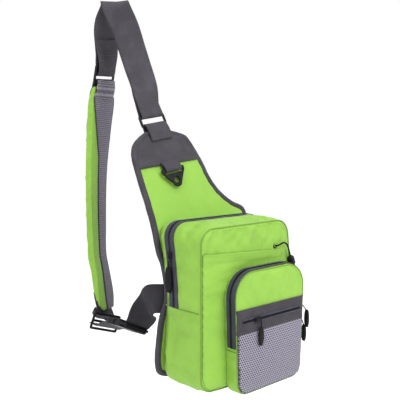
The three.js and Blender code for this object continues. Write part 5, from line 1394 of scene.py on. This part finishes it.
def hem_places(k, i):
    """The band's front and rear in a row and a column. Its ends wrap round the pocket's edges."""
    z = HEM_TOP + 0.4 + (HEM_FOOT - HEM_TOP - 0.8) * k / HEM_STEPS
    x0, x1 = face_edge(z, -1) - 1.6, face_edge(z, 1) + 1.6
    x = x0 + (x1 - x0) * i / FACE_STEPS
    wrap = 2.6 * (math.exp(-(x - x0) / 2.2) + math.exp(-(x1 - x) / 2.2))
    fold = 0.35 * math.exp(-min(k, HEM_STEPS - k) / 1.2)
    wave = 0.3 * noise.noise((x / 12, 3.3, z / 9))
    return ((x, pocket_front(x) - 0.5 - HEM_THICK + wrap - fold - wave, z),
            (x, pocket_front(x) - 0.5 + wrap, z))


hem_shape = quilted(*sheets(HEM_STEPS + 1, FACE_STEPS + 1, hem_places))
hem_cloth = dark_cloth("pocket_band_cloth", darker(WEBBING_GREY, 0.9))
pocket_hem = made("pocket_hem_band", *hem_shape[:2], hem_cloth, "dark_webbing", hem_shape[2], ["pocket_hem"])
for level, word in ((HEM_TOP - 2.5, "top"), (HEM_FOOT + 2.5, "foot")):
    places = [Vector((x, pocket_front(x) - 0.5 - HEM_THICK - 0.45, level))
              for x in [face_edge(level, -1) + i * 2.5 for i in range(62)] if x < face_edge(level, 1)]
    sewn(f"hem_stitches_{word}", places, TO_FRONT, dark_thread)
hem_middle = (HEM_TOP + HEM_FOOT) / 2
zip_line = [Vector((x, pocket_front(x) - 0.5 - HEM_THICK - 0.75, hem_middle)) for x in range(47, 188, 4)]
zip_run("hem_zip", zip_line, [TO_FRONT] * len(zip_line), 9, Vector((0, 0, 1)), ["hem_zip"], tooth=1.3)

MESH_HOLE = 4.4
MESH_FOOT = POCKET_TOP - POCKET_HEIGHT + 2.4
MESH_CORNER = 21
LINING_STEPS = 30
MESH_YARN = (0.27, 0.255, 0.315)
LINING = (0.045, 0.042, 0.052)
lining = dark_cloth("mesh_lining", LINING)
mesh_net = Finish("open_knit_net", MESH_YARN, 0.75, sheen=0.1, level=0.2)
net_yarn = mesh_net.blotches(0.9, 3.0)
mesh_net.coloured(mesh_net.mixed(net_yarn, darker(MESH_YARN, 0.75), darker(MESH_YARN, 1.25)))
mesh_net.raised(net_yarn, 0.3, 0.7)


def mesh_rise(x, z):
    """How far the mesh pouch stands off the pocket's face, fullest low in its middle."""
    across = (x - face_edge(z, -1)) / (face_edge(z, 1) - face_edge(z, -1))
    down = (HEM_FOOT - z) / 100
    round_up = 1.0
    for share in (across, down):
        round_up *= math.sin(math.pi * min(max(share, 0), 1)) ** 0.7
    edge = min(x - face_edge(z, -1), face_edge(z, 1) - x, z - MESH_FOOT)
    wave = 0.7 * noise.noise((x / 22, 1.1, z / 26)) * round_up
    return 3.4 * round_up + wave - 2.0 * math.exp(-max(edge, 0) / 2.0)


def in_mesh(x, z, inset):
    """Whether a place lies on the mesh face, whose foot has round corners."""
    if z > HEM_FOOT - 0.3 or z < MESH_FOOT + inset:
        return False
    if not face_edge(z, -1) + inset < x < face_edge(z, 1) - inset:
        return False
    radius = MESH_CORNER - inset
    for side in (-1, 1):
        x0 = face_edge(-655, side) - side * (radius + inset)
        z0 = MESH_FOOT + inset + radius
        if (x - x0) * side > 0 and z < z0 and math.hypot(x - x0, z - z0) > radius:
            return False
    return True


def lining_places(k, i):
    """The lining's front and rear in a row and a column, between the pocket's edges and its round corners."""
    z = HEM_FOOT - 0.4 + (MESH_FOOT - HEM_FOOT + 0.4) * k / LINING_STEPS
    low = max(MESH_CORNER - (z - MESH_FOOT), 0)
    trim = MESH_CORNER - math.sqrt(max(MESH_CORNER ** 2 - low ** 2, 0))
    x0, x1 = face_edge(z, -1) + trim, face_edge(z, 1) - trim
    x = x0 + (x1 - x0) * i / FACE_STEPS
    return (x, pocket_front(x) - 1.0 - mesh_rise(x, z), z), (x, pocket_front(x) - 0.45, z)


lining_shape = quilted(*sheets(LINING_STEPS + 1, FACE_STEPS + 1, lining_places))
pocket_mesh = made("pocket_mesh_lining", *lining_shape[:2], lining, "air_mesh", lining_shape[2],
                   ["pocket_mesh"])
net_points, net_faces = [], []
corner_at = {}
cell = MESH_HOLE / math.sqrt(3)


def net_corner(x, z, deep):
    key = (round(x * 4), round(z * 4), deep)
    if key not in corner_at:
        corner_at[key] = len(net_points)
        net_points.append((x, pocket_front(x) - 1.25 - mesh_rise(x, z) - deep, z))
    return corner_at[key]


for row in range(30):
    for column in range(42):
        x0 = 34 + MESH_HOLE * (column + 0.5 * (row % 2))
        z0 = HEM_FOOT - 1.5 - row * cell * 1.5
        if not in_mesh(x0, z0, 1.6):
            continue
        rim, hole = [], []
        for i in range(6):
            a = math.radians(60 * i + 30)
            rim.append((x0 + cell * math.cos(a), z0 + cell * math.sin(a)))
            hole.append((x0 + cell * 0.66 * math.cos(a), z0 + cell * 0.66 * math.sin(a)))
        start = len(net_points)
        for x, z in hole:
            net_points.append((x, pocket_front(x) - 1.15 - mesh_rise(x, z) - 0.35, z))
        for x, z in hole:
            net_points.append((x, pocket_front(x) - 0.9 - mesh_rise(x, z), z))
        outer = [net_corner(x, z, 0.65) for x, z in rim]
        for i in range(6):
            j = (i + 1) % 6
            net_faces.append((outer[i], outer[j], start + j, start + i))
            net_faces.append((start + i, start + j, start + 6 + j, start + 6 + i))
net = made("pocket_mesh_net", net_points, net_faces, mesh_net.material, "air_mesh")

# Zip pulls
# Each pull is a doubled cord with a grip of soft black plastic moulded onto its end. The grip has ribs
# across it so that it can be held with wet hands.
rubber = Finish("soft_grip_plastic", (0.006, 0.006, 0.007), 0.6, level=0.12)
rubber.coloured(rubber.mixed(rubber.blotches(6.0), (0.004, 0.004, 0.005), (0.011, 0.011, 0.012)))
rubber.raised(rubber.blotches(0.4), 0.05, 0.5)
PULL_CORD = 1.1


def zip_pull(name, wide, grip, thick, lead, aside, proud, at, out):
    """A doubled cord of length lead from at, and a ribbed grip below it, aside and proud of the zip."""
    up = Vector((0, 0, 1))
    face = Vector(out).normalized()
    across = up.cross(face).normalized()
    at = Vector(at)
    middle = at + across * aside + face * proud - up * (lead + grip / 2)
    sections, frames = [], []
    rings = max(8, round(grip / 1.6))
    for k in range(rings + 1):
        t = k / rings
        taper = math.sin(math.pi * min(max(t, 0.04), 0.96)) ** 0.22
        rib = 0.82 + 0.18 * (k % 2) if 0.15 < t < 0.85 else 0.95
        frames.append((middle + up * grip * (0.5 - t), across, face))
        sections.append([(a, b * rib) for a, b in pillow(wide * taper, thick * taper, 0.7, 16)])
    shape = swept(frames, sections)
    grip_piece = made(f"{name}_grip", *shape[:2], rubber.material, "black_plastic", shape[2], [name])
    soft = grip_piece.modifiers.new("rounding", "BEVEL")
    soft.width = 0.0002
    soft.segments = 2
    for side in (-1, 1):
        top = at + across * side * 0.5
        low = at + across * (aside + side * 0.9) + face * proud - up * (lead + 1.2)
        strand = [top.lerp(low, i / 6) + face * 0.25 * math.sin(math.pi * i / 6) for i in range(7)]
        cord = swept(led(strand, face), [circle(PULL_CORD / 2, 8)] * 7)
        made(f"{name}_cord_{'left' if side < 0 else 'right'}", *cord[:2], braid.material, "dark_cord",
             cord[2])


ZIP_PULLS = [  # name, width, grip length, thickness, cord length, lean sideways and outwards, upper end, face
    ("main_zip_pull", 16, 42, 8, 12, 0, 1.6, (-25.4, -185.9, -454.4), (-1, 0, 0)),
    ("hem_pull", 12, 30, 5, 15, 0, 0.6, (85.1, -291.6, -553), (-0.058, -1, 0)),
    ("pocket_pull_upper", 10, 32, 7, 20, -13, 11, (208.7, -273, -545.6), (1, 0, 0)),
    ("pocket_pull_lower", 10, 30, 7, 34, -6, 13, (208.1, -273, -561.6), (1, 0, 0)),
]
for pull in ZIP_PULLS:
    zip_pull(*pull)

# Floor, walls and light
# A plain pale floor below the bag, a white surround and four broad soft lamps.
floor_mesh = bpy.data.meshes.new("floor")
floor_mesh.from_pydata([(-3, -3, -0.95), (3, -3, -0.95), (3, 3, -0.95), (-3, 3, -0.95)], [], [(0, 1, 2, 3)])
floor = bpy.data.objects.new("floor", floor_mesh)
bpy.context.scene.collection.objects.link(floor)
pale = Finish("pale_floor", (0.94, 0.94, 0.94), 0.8)
pale.coloured(pale.mixed(pale.blotches(300.0), (0.93, 0.93, 0.93), (0.95, 0.95, 0.95)))
floor_mesh.materials.append(pale.material)
surround = bpy.data.worlds.new("surround")
surround.use_nodes = True
surround.node_tree.nodes["Background"].inputs["Color"].default_value = (1, 1, 1, 1)
surround.node_tree.nodes["Background"].inputs["Strength"].default_value = 1.0
bpy.context.scene.world = surround
for name, place, size, power in (
        ("key_lamp", (0.5, -2.4, 1.5), 1.5, 58), ("side_lamp", (-2.3, -1.2, 0.5), 1.2, 16),
        ("back_lamp", (0.4, 2.2, 0.9), 1.6, 8), ("top_lamp", (0.1, -0.3, 1.7), 1.4, 14)):
    lamp = bpy.data.objects.new(name, bpy.data.lights.new(name, "AREA"))
    lamp.data.energy = power
    lamp.data.size = size
    lamp.location = place
    lamp.rotation_euler = (Vector((0.05, -0.1, -0.35)) - Vector(place)).to_track_quat("-Z", "Y").to_euler()
    bpy.context.scene.collection.objects.link(lamp)
bpy.context.scene.view_settings.view_transform = "Standard"
